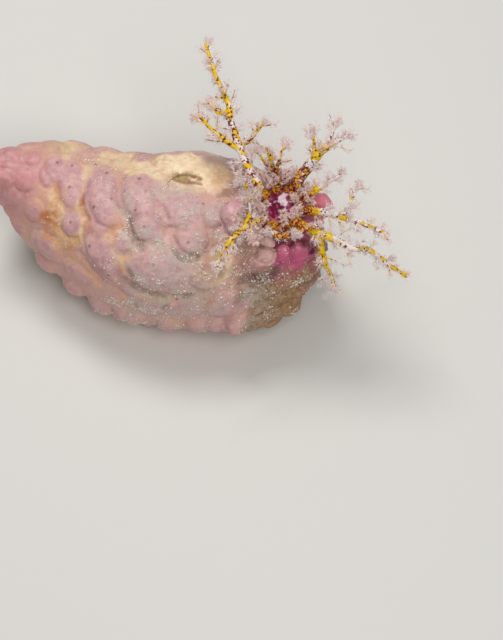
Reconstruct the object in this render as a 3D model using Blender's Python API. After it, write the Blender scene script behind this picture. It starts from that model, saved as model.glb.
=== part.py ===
"""A warty sea cucumber at life size, resting on its tube feet with both ends turned up and
its ten feeding tentacles spread. Sizes are millimetres until a mesh is made, +Z is up, the
head end points along +X, and the origin is the bottom centre of the whole animal's box."""

import math
import random

import bmesh
import bpy
import numpy as np
from mathutils import Vector
from mathutils.bvhtree import BVHTree

MM = 0.001
GAP = 0.3
SOLE_HEIGHT = 1.0
BODY_SIDES = 60
BOXINESS_ABOVE, BOXINESS_BELOW = 2.3, 3.0

# The body is a stack of cross-sections from the tail to the rim of the collar. Each row is
# the middle of one section (x, y, z), the heading and pitch of the body there in degrees,
# the section's half width, and how far it reaches above and below its middle.
STATIONS = np.array(
    [
        (-48.4, 13.4, 36.0, -8, -50, 2.6, 2.6, 2.6),
        (-46.4, 13.6, 34.6, -8, -47, 4.8, 4.8, 4.6),
        (-42.4, 14.0, 32.0, -9, -40, 7.4, 7.4, 7.0),
        (-36.0, 12.6, 27.0, -11, -26, 12.6, 12.2, 11.6),
        (-27.0, 8.4, 21.6, -14, -10, 16.0, 15.4, 15.0),
        (-14.0, 2.6, 20.2, -17, -1, 19.6, 18.8, 18.6),
        (0.0, -0.2, 20.4, -18, 3, 22.2, 19.6, 19.6),
        (13.5, -2.8, 21.0, -20, 12, 21.8, 19.4, 19.8),
        (20.8, -5.2, 22.8, -26, 27, 19.4, 18.2, 20.6),
        (24.2, -6.8, 27.0, -35, 41, 17.2, 15.4, 20.4),
        (26.8, -5.0, 32.6, -46, 56, 13.8, 12.0, 16.4),
        (28.6, -2.8, 38.2, -58, 72, 10.8, 10.0, 10.8),
    ]
)
RIM = len(STATIONS) - 1

# Where the body is parted, in station numbers.
BODY_LENGTHS = {
    "tail": (0.0, 2.7, 12),
    "trunk_rear": (2.7, 4.9, 12),
    "trunk_middle": (4.9, 6.6, 9),
    "trunk_front": (6.6, 8.7, 11),
    "collar": (8.7, RIM, 10),
}

# Warts of the near side and back, placed where they are seen from a height of 60 degrees in
# front of the near flank: right and up in that view, the turn of the long axis there in
# degrees, half length, half width and height.
SEEN_FROM = 60
SEEN_WARTS = [
    (-26.8, 25.4, 95, 7.0, 4.5, 1.5),
    (-25.9, 14.1, 90, 3.0, 2.9, 1.2),
    (-17.3, 22.2, 95, 8.6, 4.2, 1.7),
    (-7.4, 21.9, 90, 5.7, 5.4, 1.6),
    (-5.7, 14.0, 100, 4.5, 3.8, 1.5),
    (-17.7, 4.9, -55, 6.3, 3.6, 1.6),
    (-1.3, 1.3, -3, 9.3, 5.7, 2.0),
    (4.1, 17.6, 0, 5.9, 4.9, 1.5),
    (5.6, 9.3, 0, 3.5, 3.5, 1.8),
    (12.4, 16.2, 60, 3.2, 2.6, 1.1),
    (-7.1, 31.0, 30, 3.2, 2.4, 1.0),
    (6.6, 30.6, -8, 9.4, 6.0, 2.4),
    (-32.8, 7.4, -60, 3.9, 3.3, 1.7),
    (-12.0, 8.5, 90, 2.2, 2.0, 0.8),
    (-10.3, -3.5, -40, 3.2, 2.4, 1.1),
    (-23.8, 0.2, -35, 5.0, 2.6, 1.1),
    (9.6, 0.3, 80, 3.5, 2.9, 1.1),
    (21.8, 3.1, 0, 2.0, 2.0, 1.4),
    (24.3, 1.4, 0, 1.8, 1.8, 1.2),
    (14.6, -8.4, 20, 4.2, 3.0, 1.4),
    (34.8, -4.5, 0, 2.3, 2.3, 1.3),
    (32.7, -8.8, 0, 2.9, 2.9, 1.2),
    (37.2, 0.2, 60, 2.5, 2.1, 0.9),
    (-3.0, -8.4, 0, 5.0, 2.7, 1.1),
    (4.6, -8.8, 0, 4.0, 2.7, 1.1),
]
# Peaked warts on the lower near edge: the same figures.
SEEN_PEAKS = [
    (-12.7, -9.9, 0, 2.6, 2.3, 2.2),
    (-5.7, -13.0, 0, 2.8, 2.5, 2.6),
    (18.6, -12.2, 0, 3.4, 3.4, 3.8),
]
# A dark slit on the back, the same way: right, up, turn, half length, half width, depth.
SEEN_SLIT = (4.5, 26.2, -5, 4.8, 1.7, 1.8)
# Rows on the sides that face away, by degrees round the body (0 far side, 90 back, 180 near
# side, 270 belly), half size and height, and their spacing in station numbers.
HIDDEN_ROWS = ((32, 4.6, 1.7), (3, 4.4, 1.8), (334, 3.6, 2.2), (206, 3.0, 1.8))
HIDDEN_ROW_FIRST, HIDDEN_ROW_LAST, HIDDEN_ROW_STEP = 3.7, 8.8, 0.62
TAIL_RINGS = (1.3, 2.1, 2.9)
TAIL_WARTS_ROUND = 7
TAIL_WART = (2.4, 2.4, 0.8)

# Tube feet in three double rows along the sole.
FOOT_ROWS = (-11.5, 0.0, 11.5)
FOOT_ZIGZAG, FOOT_STEP = 1.5, 4.4
FOOT_FIRST, FOOT_LAST = -24.0, 24.0
FOOT_RADIUS, FOOT_DISC_RADIUS, FOOT_SUNK = 0.75, 1.0, 2.6

# The collar's lobes, which shut over the mouth, and its small round warts: degrees round the mouth, distance from
# its axis, height over the rim, then half sizes across, round and up.
LOBES = [
    (74, 10.3, -0.2, 2.8, 3.2, 3.8),
    (7, 10.8, -0.8, 2.9, 3.8, 5.4),
    (288, 11.0, -1.6, 2.7, 3.3, 4.8),
    (307, 11.4, -1.4, 2.7, 3.5, 4.8),
    (188, 10.7, 0.0, 3.3, 4.3, 3.6),
    (251, 9.7, 1.2, 2.3, 2.5, 3.2),
    (255, 12.0, -0.2, 2.5, 2.7, 3.0),
    (130, 10.3, 0.0, 2.7, 3.4, 3.0),
]

# The introvert's outline turned about the mouth's axis: radius and height over the rim.
INTROVERT_PROFILE = [
    (6.4, 0.0),
    (6.7, 1.4),
    (6.5, 3.4),
    (5.4, 4.9),
    (3.3, 5.6),
    (2.1, 5.2),
    (1.2, 3.6),
]
INTROVERT_SIDES = 20
MOUTH_FLOOR = 3.0
BOSS_RING, BOSS_HEIGHT, BOSS_LEAN, BOSS_SUNK = 6.3, 6.2, 44, 4.2

# Tentacles: degrees round the mouth, radius at the root and near the tip, the points that
# the stem passes, where it is parted as shares of its length, and how many side branches
# grow along it. Points are in the body's own millimetres.
TENTACLES = {
    "tentacle_1": dict(
        round_mouth=140,
        radii=(1.35, 0.36),
        points=[(21.4, 4.8, 48.8), (18.9, 10.4, 49.8), (16.7, 17.0, 51.6), (15.6, 22.6, 52.8),
                (13.0, 28.6, 54.6), (10.0, 38.6, 56.4)],
        parted=(0.36, 0.68),
        branches=13,
        forks=[(0.30, 0.85, [(12.6, 14.0, 51.2), (8.4, 18.4, 52.0)]),
               (0.33, 0.80, [(22.0, 12.6, 51.0), (25.0, 15.6, 52.2)]),
               (0.55, 0.65, [(13.2, 18.6, 53.8), (11.2, 20.6, 55.0)])],
    ),
    "tentacle_2": dict(
        round_mouth=56,
        radii=(1.35, 0.50),
        points=[(36.0, 4.2, 48.8), (39.4, 6.8, 51.8), (42.8, 8.4, 54.6)],
        parted=(0.52,),
        branches=10,
        forks=[(0.66, 0.70, [(38.4, 9.2, 54.4), (38.2, 11.6, 56.4)])],
    ),
    "tentacle_3": dict(
        round_mouth=100,
        radii=(1.20, 0.42),
        points=[(28.2, 3.4, 50.2), (27.2, 4.4, 53.6), (26.4, 5.8, 56.8)],
        parted=(0.52,),
        branches=9,
        forks=[],
    ),
    "tentacle_4": dict(
        round_mouth=24,
        radii=(1.15, 0.42),
        points=[(39.4, -0.4, 47.2), (42.4, 0.0, 49.6), (45.4, 0.6, 51.6)],
        parted=(0.50,),
        branches=9,
        forks=[],
    ),
    "tentacle_5": dict(
        round_mouth=352,
        radii=(1.30, 0.42),
        points=[(41.6, -7.4, 45.6), (46.2, -9.1, 46.6), (51.0, -11.2, 46.8), (56.0, -13.0, 45.6)],
        parted=(0.50,),
        branches=11,
        forks=[(0.52, 0.60, [(48.2, -5.6, 49.0), (49.6, -3.4, 50.8)])],
    ),
    "tentacle_6": dict(
        round_mouth=318,
        radii=(1.35, 0.36),
        points=[(39.4, -12.4, 44.2), (43.4, -13.9, 43.6), (48.0, -15.6, 42.2),
                (53.2, -15.8, 40.4), (57.6, -18.2, 38.0), (62.6, -21.0, 35.6)],
        parted=(0.34, 0.66),
        branches=12,
        forks=[(0.20, 0.95, [(40.8, -16.6, 40.4), (42.0, -18.8, 36.4), (44.0, -21.4, 31.4)])],
    ),
    "tentacle_7": dict(
        round_mouth=284,
        radii=(0.90, 0.40),
        points=[(32.6, -13.4, 45.4), (33.6, -14.8, 48.8)],
        parted=(),
        branches=6,
        forks=[],
    ),
    "tentacle_8": dict(
        round_mouth=214,
        radii=(1.25, 0.40),
        points=[(20.9, -11.0, 45.6), (17.6, -13.6, 44.8), (14.6, -17.0, 43.2), (13.0, -19.6, 41.4)],
        parted=(0.46,),
        branches=10,
        forks=[(0.34, 0.75, [(19.6, -8.0, 48.6), (19.2, -5.8, 50.6)])],
    ),
    "tentacle_9": dict(
        round_mouth=176,
        radii=(1.15, 0.42),
        points=[(21.2, -3.8, 49.4), (20.2, -3.0, 52.6), (19.2, -1.8, 55.6)],
        parted=(0.52,),
        branches=9,
        forks=[],
    ),
    "tentacle_10": dict(
        round_mouth=248,
        radii=(0.90, 0.40),
        points=[(26.6, -13.2, 46.0), (26.4, -14.8, 49.4)],
        parted=(),
        branches=6,
        forks=[],
    ),
}
STEM_SIDES, BRANCH_SIDES, TWIG_SIDES = 6, 4, 3
STEM_STEP = 3.4
BRANCH_RADIUS, BRANCH_LENGTHS = 0.42, (3.6, 6.2)
TWIG_RADIUS, TWIG_LENGTHS = 0.30, (1.6, 2.9)
TWIG_STEP = 1.7
CLEAR = 0.42
GOLDEN_TURN = math.radians(137.5)

COLOURS = {
    "skin": (0.80, 0.56, 0.56, 1.0),
    "tail_skin": (0.84, 0.50, 0.52, 1.0),
    "collar_skin": (0.70, 0.34, 0.45, 1.0),
    "introvert": (0.48, 0.06, 0.22, 1.0),
    "tentacle": (0.86, 0.66, 0.24, 1.0),
}


def material(slot):
    """One moist, soft finish for each kind of flesh."""
    made = bpy.data.materials.get(slot)
    if made is None:
        made = bpy.data.materials.new(slot)
        made.use_nodes = True
        shader = made.node_tree.nodes["Principled BSDF"]
        shader.inputs["Base Color"].default_value = COLOURS[slot]
        shader.inputs["Roughness"].default_value = 0.45
        shader.inputs["Metallic"].default_value = 0.0
    return made


def unit(v):
    return v / np.linalg.norm(v)


def spline(rows, t):
    """A smooth curve through the rows, read at row number t."""
    rows = np.asarray(rows, float)
    i = int(min(max(math.floor(t), 0), len(rows) - 2))
    f = t - i
    p1, p2 = rows[i], rows[i + 1]
    p0 = rows[i - 1] if i > 0 else 2 * p1 - p2
    p3 = rows[i + 2] if i + 2 < len(rows) else 2 * p2 - p1
    return 0.5 * (
        2 * p1
        + (p2 - p0) * f
        + (2 * p0 - 5 * p1 + 4 * p2 - p3) * f * f
        + (3 * p1 - p0 - 3 * p2 + p3) * f**3
    )


def section(t):
    """Middle, the directions ahead, to the side and up, and the sizes at station t."""
    x, y, z, heading, pitch, *sizes = spline(STATIONS, t)
    h, p = math.radians(heading), math.radians(pitch)
    ahead = np.array([math.cos(p) * math.cos(h), math.cos(p) * math.sin(h), math.sin(p)])
    side = np.array([-math.sin(h), math.cos(h), 0.0])
    return np.array([x, y, z]), ahead, side, np.cross(ahead, side), sizes


def smooth_ring(t, angles):
    """Points of the wartless body at station t, and which way the skin faces in the section."""
    middle, _, side, up, (half_width, above, below) = section(t)
    c, s = np.cos(angles), np.sin(angles)
    half_height = np.where(s > 0, above, below)
    boxiness = np.where(s > 0, BOXINESS_ABOVE, BOXINESS_BELOW)
    reach = (np.abs(c) ** boxiness + np.abs(s) ** boxiness) ** (-1 / boxiness)
    u, v = half_width * reach * c, half_height * reach * s
    nu = np.sign(u) * np.abs(reach * c) ** (boxiness - 1) / half_width
    nv = np.sign(v) * np.abs(reach * s) ** (boxiness - 1) / half_height
    size = np.hypot(nu, nv)
    points = middle + np.outer(u, side) + np.outer(v, up)
    facing = np.outer(nu / size, side) + np.outer(nv / size, up)
    return points, facing


def view_directions():
    """Towards the viewer, and the view's right and up."""
    height = math.radians(SEEN_FROM)
    towards = np.array([0.0, -math.cos(height), math.sin(height)])
    up = np.array([0.0, math.sin(height), math.cos(height)])
    return towards, np.array([1.0, 0.0, 0.0]), up


def wartless_body():
    """The body without its warts, to find the places that are seen on it."""
    rings = [smooth_ring(t, ring_angles())[0] for t in np.linspace(0, RIM, 12 * RIM + 1)]
    faces = []
    for i in range(len(rings) - 1):
        for j in range(BODY_SIDES):
            k = (j + 1) % BODY_SIDES
            a, b = i * BODY_SIDES, (i + 1) * BODY_SIDES
            faces.append((a + j, a + k, b + k, b + j))
    return BVHTree.FromPolygons(np.vstack(rings).tolist(), faces)


def ring_angles():
    return np.arange(BODY_SIDES) * 2 * math.pi / BODY_SIDES


def seen(body, right, up, turn):
    """The body's point seen there, and its directions along a turned axis and across it."""
    towards, view_right, view_up = view_directions()
    start = view_right * right + view_up * up + towards * 200
    hit, normal, _, _ = body.ray_cast(Vector(start), Vector(-towards))
    if hit is None:
        hit, normal, _, _ = body.find_nearest(Vector(start - towards * 190))
    normal = np.array(normal)
    normal *= math.copysign(1.0, normal @ towards)
    angle = math.radians(turn)
    axis = view_right * math.cos(angle) + view_up * math.sin(angle)
    axis = unit(axis - towards * (axis @ normal) / max(normal @ towards, 0.3))
    return np.array(hit), axis, unit(np.cross(normal, axis))


def placed(t, degrees):
    """A point of the wartless body, with unit vectors along the body and round it."""
    angle = math.radians(degrees)
    points, _ = smooth_ring(t, np.array([angle, angle + 0.02]))
    later, _ = smooth_ring(t + 0.02, np.array([angle]))
    around = unit(points[1] - points[0])
    along = later[0] - points[0]
    return points[0], unit(along - around * (along @ around)), around


def hidden_warts():
    """Rows of warts on the sides that face away, and rings of small ones on the tail."""
    draw = random.Random(7)
    warts = []
    for degrees, size, height in HIDDEN_ROWS:
        t = HIDDEN_ROW_FIRST + draw.uniform(0, HIDDEN_ROW_STEP / 2)
        while t < HIDDEN_ROW_LAST:
            length, width = (size * draw.uniform(0.8, 1.1) for _ in range(2))
            place = placed(t, degrees + draw.uniform(-5, 5))
            warts.append((*place, length, width, height, False))
            t += HIDDEN_ROW_STEP * draw.uniform(0.9, 1.15)
    for n, t in enumerate(TAIL_RINGS):
        for k in range(TAIL_WARTS_ROUND):
            degrees = (k + 0.5 * (n % 2)) * 360 / TAIL_WARTS_ROUND
            warts.append((*placed(t, degrees), *TAIL_WART, False))
    return warts


def all_warts():
    """Every wart as (place, long axis, cross axis, half length, half width, height, peaked),
    and the slit without the last."""
    body = wartless_body()
    warts = [(*seen(body, *w[:3]), *w[3:], False) for w in SEEN_WARTS]
    warts += [(*seen(body, *w[:3]), *w[3:], True) for w in SEEN_PEAKS]
    return warts + hidden_warts(), (*seen(body, *SEEN_SLIT[:3]), *SEEN_SLIT[3:])


WARTS, SLIT_PLACED = all_warts()


def across(points, at, along, around, half_length, half_width):
    """How far each point is from a wart's middle: 1 is its rim."""
    d = points - at
    q = np.hypot(d @ along / half_length, d @ around / half_width)
    return np.where(np.linalg.norm(d, axis=1) < 2.2 * max(half_length, half_width), q, 9.0)


def lift(points):
    """How far warts raise the skin at each point, less the slit."""
    raised = np.zeros(len(points))
    for at, along, around, half_length, half_width, height, peaked in WARTS:
        q = across(points, at, along, around, half_length, half_width)
        near = np.clip(1 - q * q, 0, 1)
        raised = np.maximum(raised, height * near ** (1.6 if peaked else 0.55))
    at, along, around, half_length, half_width, depth = SLIT_PLACED
    q = across(points, at, along, around, half_length, half_width)
    return raised - depth * np.clip(1 - q * q, 0, 1)


def skin_ring(t, slide=0.0):
    """One ring of the warty body, moved by slide along the body."""
    points, facing = smooth_ring(t, ring_angles())
    points = points + facing * lift(points)[:, None]
    _, ahead, _, up, _ = section(t)
    short = np.maximum(SOLE_HEIGHT - points[:, 2], 0)
    points += np.outer(short / max(up[2], 0.3), up)
    return points + ahead * slide


def mesh_object(name, points, faces, slot):
    """A closed mesh object from millimetre points, its faces turned outwards."""
    mesh = bpy.data.meshes.new(name)
    mesh.from_pydata([tuple(p * MM) for p in points], [], faces)
    shape = bmesh.new()
    shape.from_mesh(mesh)
    bmesh.ops.triangulate(shape, faces=shape.faces)
    bmesh.ops.recalc_face_normals(shape, faces=shape.faces)
    shape.to_mesh(mesh)
    shape.free()
    mesh.materials.append(material(slot))
    made = bpy.data.objects.new(name, mesh)
    bpy.context.scene.collection.objects.link(made)
    return made


def ring_stack(name, rings, ends, slot):
    """A solid through rings of equal count, closed at both ends on the points in ends."""
    count = len(rings[0])
    points = np.vstack([*rings, *ends])
    faces = []
    for i in range(len(rings) - 1):
        for j in range(count):
            k = (j + 1) % count
            a, b = i * count, (i + 1) * count
            faces.append((a + j, a + k, b + k, b + j))
    first, last = len(rings) * count, (len(rings) - 1) * count
    for j in range(count):
        k = (j + 1) % count
        faces.append((first, k, j))
        faces.append((first + 1, last + j, last + k))
    return mesh_object(name, points, faces, slot)


def body_length(name, slot):
    """One length of the body, with flat ends that stand half a gap off each parting."""
    start, end, steps = BODY_LENGTHS[name]
    rings = [skin_ring(t) for t in np.linspace(start, end, steps + 1)]
    if start > 0:
        rings[0] = skin_ring(start, GAP / 2)
    if end < RIM:
        rings[-1] = skin_ring(end, -GAP / 2)
    ends = [rings[0].mean(axis=0), rings[-1].mean(axis=0)]
    if start == 0:
        ends[0] = ends[0] + section(0)[1] * 1.4
    return ring_stack(name, rings, ends, slot)


def frames_along(points):
    """Tangents and a steady pair of cross directions along a run of points."""
    ahead = np.gradient(points, axis=0)
    ahead /= np.linalg.norm(ahead, axis=1)[:, None]
    side = np.cross(ahead[0], (0.0, 0.0, 1.0))
    if np.linalg.norm(side) < 0.1:
        side = np.cross(ahead[0], (0.0, 1.0, 0.0))
    sides = []
    for direction in ahead:
        side = unit(side - direction * (side @ direction))
        sides.append(side)
    return ahead, np.array(sides)


def tube(name, points, radii, sides, slot, pointed=False, facing=None):
    """A tapered closed tube. facing gives the flat ends' own directions, if they are set."""
    points = np.asarray(points, float)
    ahead, side = frames_along(points)
    if facing is not None:
        ahead[0], ahead[-1] = facing
    angles = np.arange(sides) * 2 * math.pi / sides
    rings = []
    for p, d, s, r in zip(points, ahead, side, radii):
        s = unit(s - d * (s @ d))
        up = np.cross(d, s)
        rings.append(p + r * (np.outer(np.cos(angles), s) + np.outer(np.sin(angles), up)))
    if pointed:
        return ring_stack(name, rings[:-1], [points[0], points[-1]], slot)
    return ring_stack(name, rings, [points[0], points[-1]], slot)


def fused(name, pieces, slot, solver="EXACT"):
    """Joins closed pieces into one object by a union, and keeps its largest closed surface."""
    base, others = pieces[0], pieces[1:]
    base.name = name
    if others:
        group = bpy.data.collections.new(name + "_pieces")
        bpy.context.scene.collection.children.link(group)
        for piece in others:
            bpy.context.scene.collection.objects.unlink(piece)
            group.objects.link(piece)
        joined = base.modifiers.new("join", "BOOLEAN")
        joined.operation, joined.operand_type = "UNION", "COLLECTION"
        joined.solver, joined.collection = solver, group
        bpy.context.view_layer.update()
        graph = bpy.context.evaluated_depsgraph_get()
        mesh = bpy.data.meshes.new_from_object(base.evaluated_get(graph))
        base.modifiers.clear()
        base.data = mesh
        for piece in others:
            bpy.data.objects.remove(piece)
        bpy.data.collections.remove(group)
    keep_largest(base.data)
    base.data.materials.clear()
    base.data.materials.append(material(slot))
    return base


def keep_largest(mesh):
    """Leaves only the closed surface that holds the most volume."""
    shape = bmesh.new()
    shape.from_mesh(mesh)
    bmesh.ops.triangulate(shape, faces=shape.faces)
    unseen, shells = set(shape.faces), []
    while unseen:
        shell, edge_of = set(), [next(iter(unseen))]
        while edge_of:
            face = edge_of.pop()
            if face in shell:
                continue
            shell.add(face)
            edge_of += [g for e in face.edges for g in e.link_faces if g not in shell]
        unseen -= shell
        shells.append(shell)

    def volume(shell):
        return sum(f.verts[0].co.dot(f.verts[1].co.cross(f.verts[2].co)) for f in shell)

    kept = max(shells, key=volume)
    scrap = [f for f in shape.faces if f not in kept]
    bmesh.ops.delete(shape, geom=scrap, context="FACES")
    shape.to_mesh(mesh)
    shape.free()


def rim_frame():
    """Middle of the rim, the mouth's axis, and two directions across it, right and far."""
    middle, axis, _, _, _ = section(RIM)
    right = unit(np.array([1.0, 0.0, 0.0]) - axis * axis[0])
    return middle, axis, right, np.cross(axis, right)


def round_mouth(degrees):
    _, _, right, far = rim_frame()
    angle = math.radians(degrees)
    return right * math.cos(angle) + far * math.sin(angle)


def bead(name, middle, axes, halves, slot):
    """An egg-shaped closed mesh with the given half sizes along three axes."""
    shape = bmesh.new()
    bmesh.ops.create_icosphere(shape, subdivisions=2, radius=1.0)
    points = np.array([v.co for v in shape.verts])
    faces = [tuple(v.index for v in f.verts) for f in shape.faces]
    shape.free()
    points = middle + sum(np.outer(points[:, i] * halves[i], axes[i]) for i in range(3))
    return mesh_object(name, points, faces, slot)


def collar():
    """The front length of the body, with its lobes and round warts on the rim."""
    pieces = [body_length("collar", "collar_skin")]
    middle, axis, _, _ = rim_frame()
    for degrees, distance, height, *halves in LOBES:
        out = round_mouth(degrees)
        at = middle + out * distance + axis * height
        pieces.append(bead("lobe", at, (out, np.cross(axis, out), axis), halves, "collar_skin"))
    return fused("collar", pieces, "collar_skin", "MANIFOLD")


def boss_line(degrees):
    """End of the boss that a tentacle stands on, and the way it points."""
    middle, axis, _, _ = rim_frame()
    out = round_mouth(degrees)
    lean = math.radians(BOSS_LEAN)
    return (
        middle + out * BOSS_RING + axis * BOSS_HEIGHT,
        axis * math.cos(lean) + out * math.sin(lean),
    )


def introvert():
    """The soft neck round the mouth, with a short boss under each tentacle."""
    middle, axis, right, far = rim_frame()
    angles = np.arange(INTROVERT_SIDES) * 2 * math.pi / INTROVERT_SIDES
    turn = np.outer(np.cos(angles), right) + np.outer(np.sin(angles), far)
    rings = [middle + axis * (GAP + h) + r * turn for r, h in INTROVERT_PROFILE]
    ends = [middle + axis * GAP, middle + axis * (GAP + MOUTH_FLOOR)]
    pieces = [ring_stack("introvert", rings, ends, "introvert")]
    for tentacle in TENTACLES.values():
        end, lean = boss_line(tentacle["round_mouth"])
        radius = tentacle["radii"][0]
        pieces.append(tube("boss", [end - lean * BOSS_SUNK, end], [radius] * 2, 8, "introvert"))
    return fused("introvert", pieces, "introvert")


def feet():
    """Tube feet under the sole, each with the x of its place."""
    made = []
    for row, offset in enumerate(FOOT_ROWS):
        count = int((FOOT_LAST - FOOT_FIRST) / FOOT_STEP)
        for n in range(count + 1):
            x = FOOT_FIRST + n * FOOT_STEP + (row % 2) * FOOT_STEP / 2
            y = sole_line(x) + offset + FOOT_ZIGZAG * (-1) ** n
            made.append((x, y))
    return made


def sole_line(x):
    """Where the middle of the sole runs at x."""
    return float(np.interp(x, STATIONS[2:10, 0], STATIONS[2:10, 1]))


def trunk(name):
    """A length of the trunk with the tube feet that grow from it."""
    body = body_length(name, "skin")
    low = [v.co / MM for v in body.data.vertices if v.co.z / MM < SOLE_HEIGHT + 2.0]
    first, last = min(v.x for v in low), max(v.x for v in low)
    margin = 2.2
    pieces = [body]
    tree = BVHTree.FromPolygons(
        [v.co / MM for v in body.data.vertices], [p.vertices[:] for p in body.data.polygons]
    )
    for x, y in feet():
        hit = tree.ray_cast(Vector((x, y, -1.0)), Vector((0.0, 0.0, 1.0)))
        if not first + margin < x < last - margin or hit[0] is None or hit[0].z > 2.4:
            continue
        line = [(x, y, 0.0), (x, y, 0.5), (x, y, FOOT_SUNK + 1.4)]
        radii = [FOOT_DISC_RADIUS, FOOT_RADIUS, FOOT_RADIUS]
        pieces.append(tube("foot", line, radii, 6, "skin"))
    return fused(name, pieces, "skin")


def gap_between(p0, p1, q0, q1):
    """Shortest distance from the segment p0 p1 to each segment q0 q1."""
    best = np.full(len(q0), 1e9)
    for s in np.linspace(0, 1, 9):
        p = p0 + (p1 - p0) * s
        d = q1 - q0
        along = np.einsum("ij,ij->i", p - q0, d) / np.maximum(np.einsum("ij,ij->i", d, d), 1e-9)
        nearest = q0 + d * np.clip(along, 0, 1)[:, None]
        best = np.minimum(best, np.linalg.norm(nearest - p, axis=1))
    return best


class Growth:
    """What has grown so far, so that each new branch keeps clear of everything else."""

    def __init__(self, body_objects):
        points, faces = [], []
        for o in body_objects:
            first = len(points)
            points += [v.co / MM for v in o.data.vertices]
            faces += [[first + i for i in p.vertices] for p in o.data.polygons]
        self.body = BVHTree.FromPolygons(points, faces)
        self.lines = []

    def add(self, owner, points, radii):
        for a, b, r in zip(points[:-1], points[1:], radii[:-1]):
            self.lines.append((a, b, r, owner))

    def clear(self, points, radii, parent):
        """True if the line keeps clear of the body and of all lines but its parent."""
        others = [g for g in self.lines if g[3] != parent]
        q0, q1 = (np.array([g[i] for g in others]) for i in (0, 1))
        reach = np.array([g[2] for g in others])
        for n, (a, b, r) in enumerate(zip(points[:-1], points[1:], radii[:-1])):
            if others and (gap_between(a, b, q0, q1) < reach + r + CLEAR).any():
                return False
            if n and self.body.find_nearest(Vector(b))[3] < r + CLEAR:
                return False
            if b[2] < r + CLEAR:
                return False
        return self.body.find_nearest(Vector(points[-1]))[3] > CLEAR


class Line:
    """A smooth line through points, read by distance along it."""

    def __init__(self, points):
        fine = [spline(points, t) for t in np.linspace(0, len(points) - 1, 12 * len(points))]
        self.points = np.array(fine)
        steps = np.linalg.norm(np.diff(self.points, axis=0), axis=1)
        self.at = np.concatenate([[0], np.cumsum(steps)])
        self.length = self.at[-1]

    def point(self, s):
        return np.array([np.interp(s, self.at, self.points[:, i]) for i in range(3)])

    def ahead(self, s):
        return unit(self.point(min(s + 0.2, self.length)) - self.point(max(s - 0.2, 0)))


def bent(root, direction, towards, length, steps):
    """Points of a short branch that starts along direction and bends towards another."""
    points = [root]
    for n in range(steps):
        way = unit(direction * (1 - 0.5 * n / steps) + towards * (0.7 * n / steps))
        points.append(points[-1] + way * length / steps)
    return np.array(points)


def sideways(ahead, turn):
    """A direction across ahead, turned round it."""
    side = unit(np.cross(ahead, (0.31, 0.52, 0.79)))
    return side * math.cos(turn) + np.cross(ahead, side) * math.sin(turn)


def grow(growth, owner, parent, root, ahead, turn, length, radius, steps, lean):
    """Tries a branch at a few turns and lengths, and returns its points and radii if one is
    clear of everything but its parent."""
    for shorter in (1.0, 0.75, 0.55):
        for turned in (0.0, 0.6, -0.6, 1.3, -1.3, 2.2):
            side = sideways(ahead, turn + turned)
            direction = ahead * math.cos(lean) + side * math.sin(lean)
            points = bent(root, direction, ahead, length * shorter, steps)
            radii = radius * np.linspace(1.0, 0.45, steps + 1)
            if growth.clear(points, radii, parent):
                growth.add(owner, points, radii)
                return points, radii
    return None


def tentacle_lengths(name, spec, growth):
    """The stem's line, its radius as a function of the distance, and where it is parted."""
    end, lean = boss_line(spec["round_mouth"])
    start = end + lean * GAP
    line = Line(np.array([start, start + lean * 2.2, *spec["points"]]))
    root, tip = spec["radii"]

    def radius(s):
        share = s / line.length
        return root + (tip - root) * share**0.8

    cuts = [0.0, *(share * line.length for share in spec["parted"]), line.length]
    stations = np.arange(0, line.length, 1.5)
    points = [line.point(s) for s in stations]
    growth.add(name, points, [radius(s) for s in stations])
    return line, radius, cuts


def side_branch(growth, name, points, radii, draw, pieces, slot):
    """Makes a branch from its line, with small twigs set on alternate sides."""
    pieces.append(tube("branch", points, radii, BRANCH_SIDES, slot, pointed=True))
    line = Line(points)
    turn, s = draw.uniform(0, math.tau), 2.0
    while s < line.length - 0.3:
        radius = float(np.interp(s / line.length, (0, 1), (radii[0], radii[-1])))
        twig = grow(
            growth, name + "_twig", name, line.point(s), line.ahead(s), turn,
            draw.uniform(*TWIG_LENGTHS), min(TWIG_RADIUS, 0.85 * radius), 2, 1.0,
        )
        if twig:
            pieces.append(tube("twig", *twig, TWIG_SIDES, slot, pointed=True))
        turn += math.pi + draw.uniform(-0.5, 0.5)
        s += TWIG_STEP * draw.uniform(0.85, 1.2)


def tentacle(name, spec, line, radius, cuts, growth):
    """Every length of one tentacle, each fused with the branches that grow from it."""
    draw = random.Random(name)
    stem_turn = draw.uniform(0, math.tau)
    forks = [(share * line.length, *rest) for share, *rest in spec["forks"]]
    spots = np.linspace(0.16, 0.97, spec["branches"] + 1)[:-1] * line.length
    for n, (start, end) in enumerate(zip(cuts[:-1], cuts[1:])):
        pieces = [stem_length(name, line, radius, start, end, end < line.length)]
        for at, fork_radius, fork_points in forks:
            if not start <= at < end:
                continue
            points = Line(np.array([line.point(at), *fork_points]))
            run = np.array([points.point(s) for s in np.linspace(0, points.length, 5)])
            radii = fork_radius * np.linspace(1, 0.45, 5)
            growth.add(f"{name}_fork", run, radii)
            side_branch(growth, f"{name}_fork", run, radii, draw, pieces, "tentacle")
        for k, at in enumerate(spots):
            stem_turn += GOLDEN_TURN
            if not start + 1.0 < at < end - 0.6:
                continue
            share = at / line.length
            length = draw.uniform(*BRANCH_LENGTHS) * (1.05 - 0.45 * share)
            owner = f"{name}_branch_{k}"
            branch = grow(
                growth, owner, name, line.point(at), line.ahead(at), stem_turn, length,
                min(BRANCH_RADIUS, 0.8 * radius(at)), 3, 1.05,
            )
            if branch:
                side_branch(growth, owner, *branch, draw, pieces, "tentacle")
        if end == line.length:
            end_twigs(growth, name, line, radius, draw, pieces)
        suffix = ("base", "middle", "tip")[n if len(cuts) > 3 or n == 0 else 2]
        node = f"{name}_{suffix}" if len(cuts) > 2 else name
        fused(node, pieces, "tentacle", "MANIFOLD")


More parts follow.
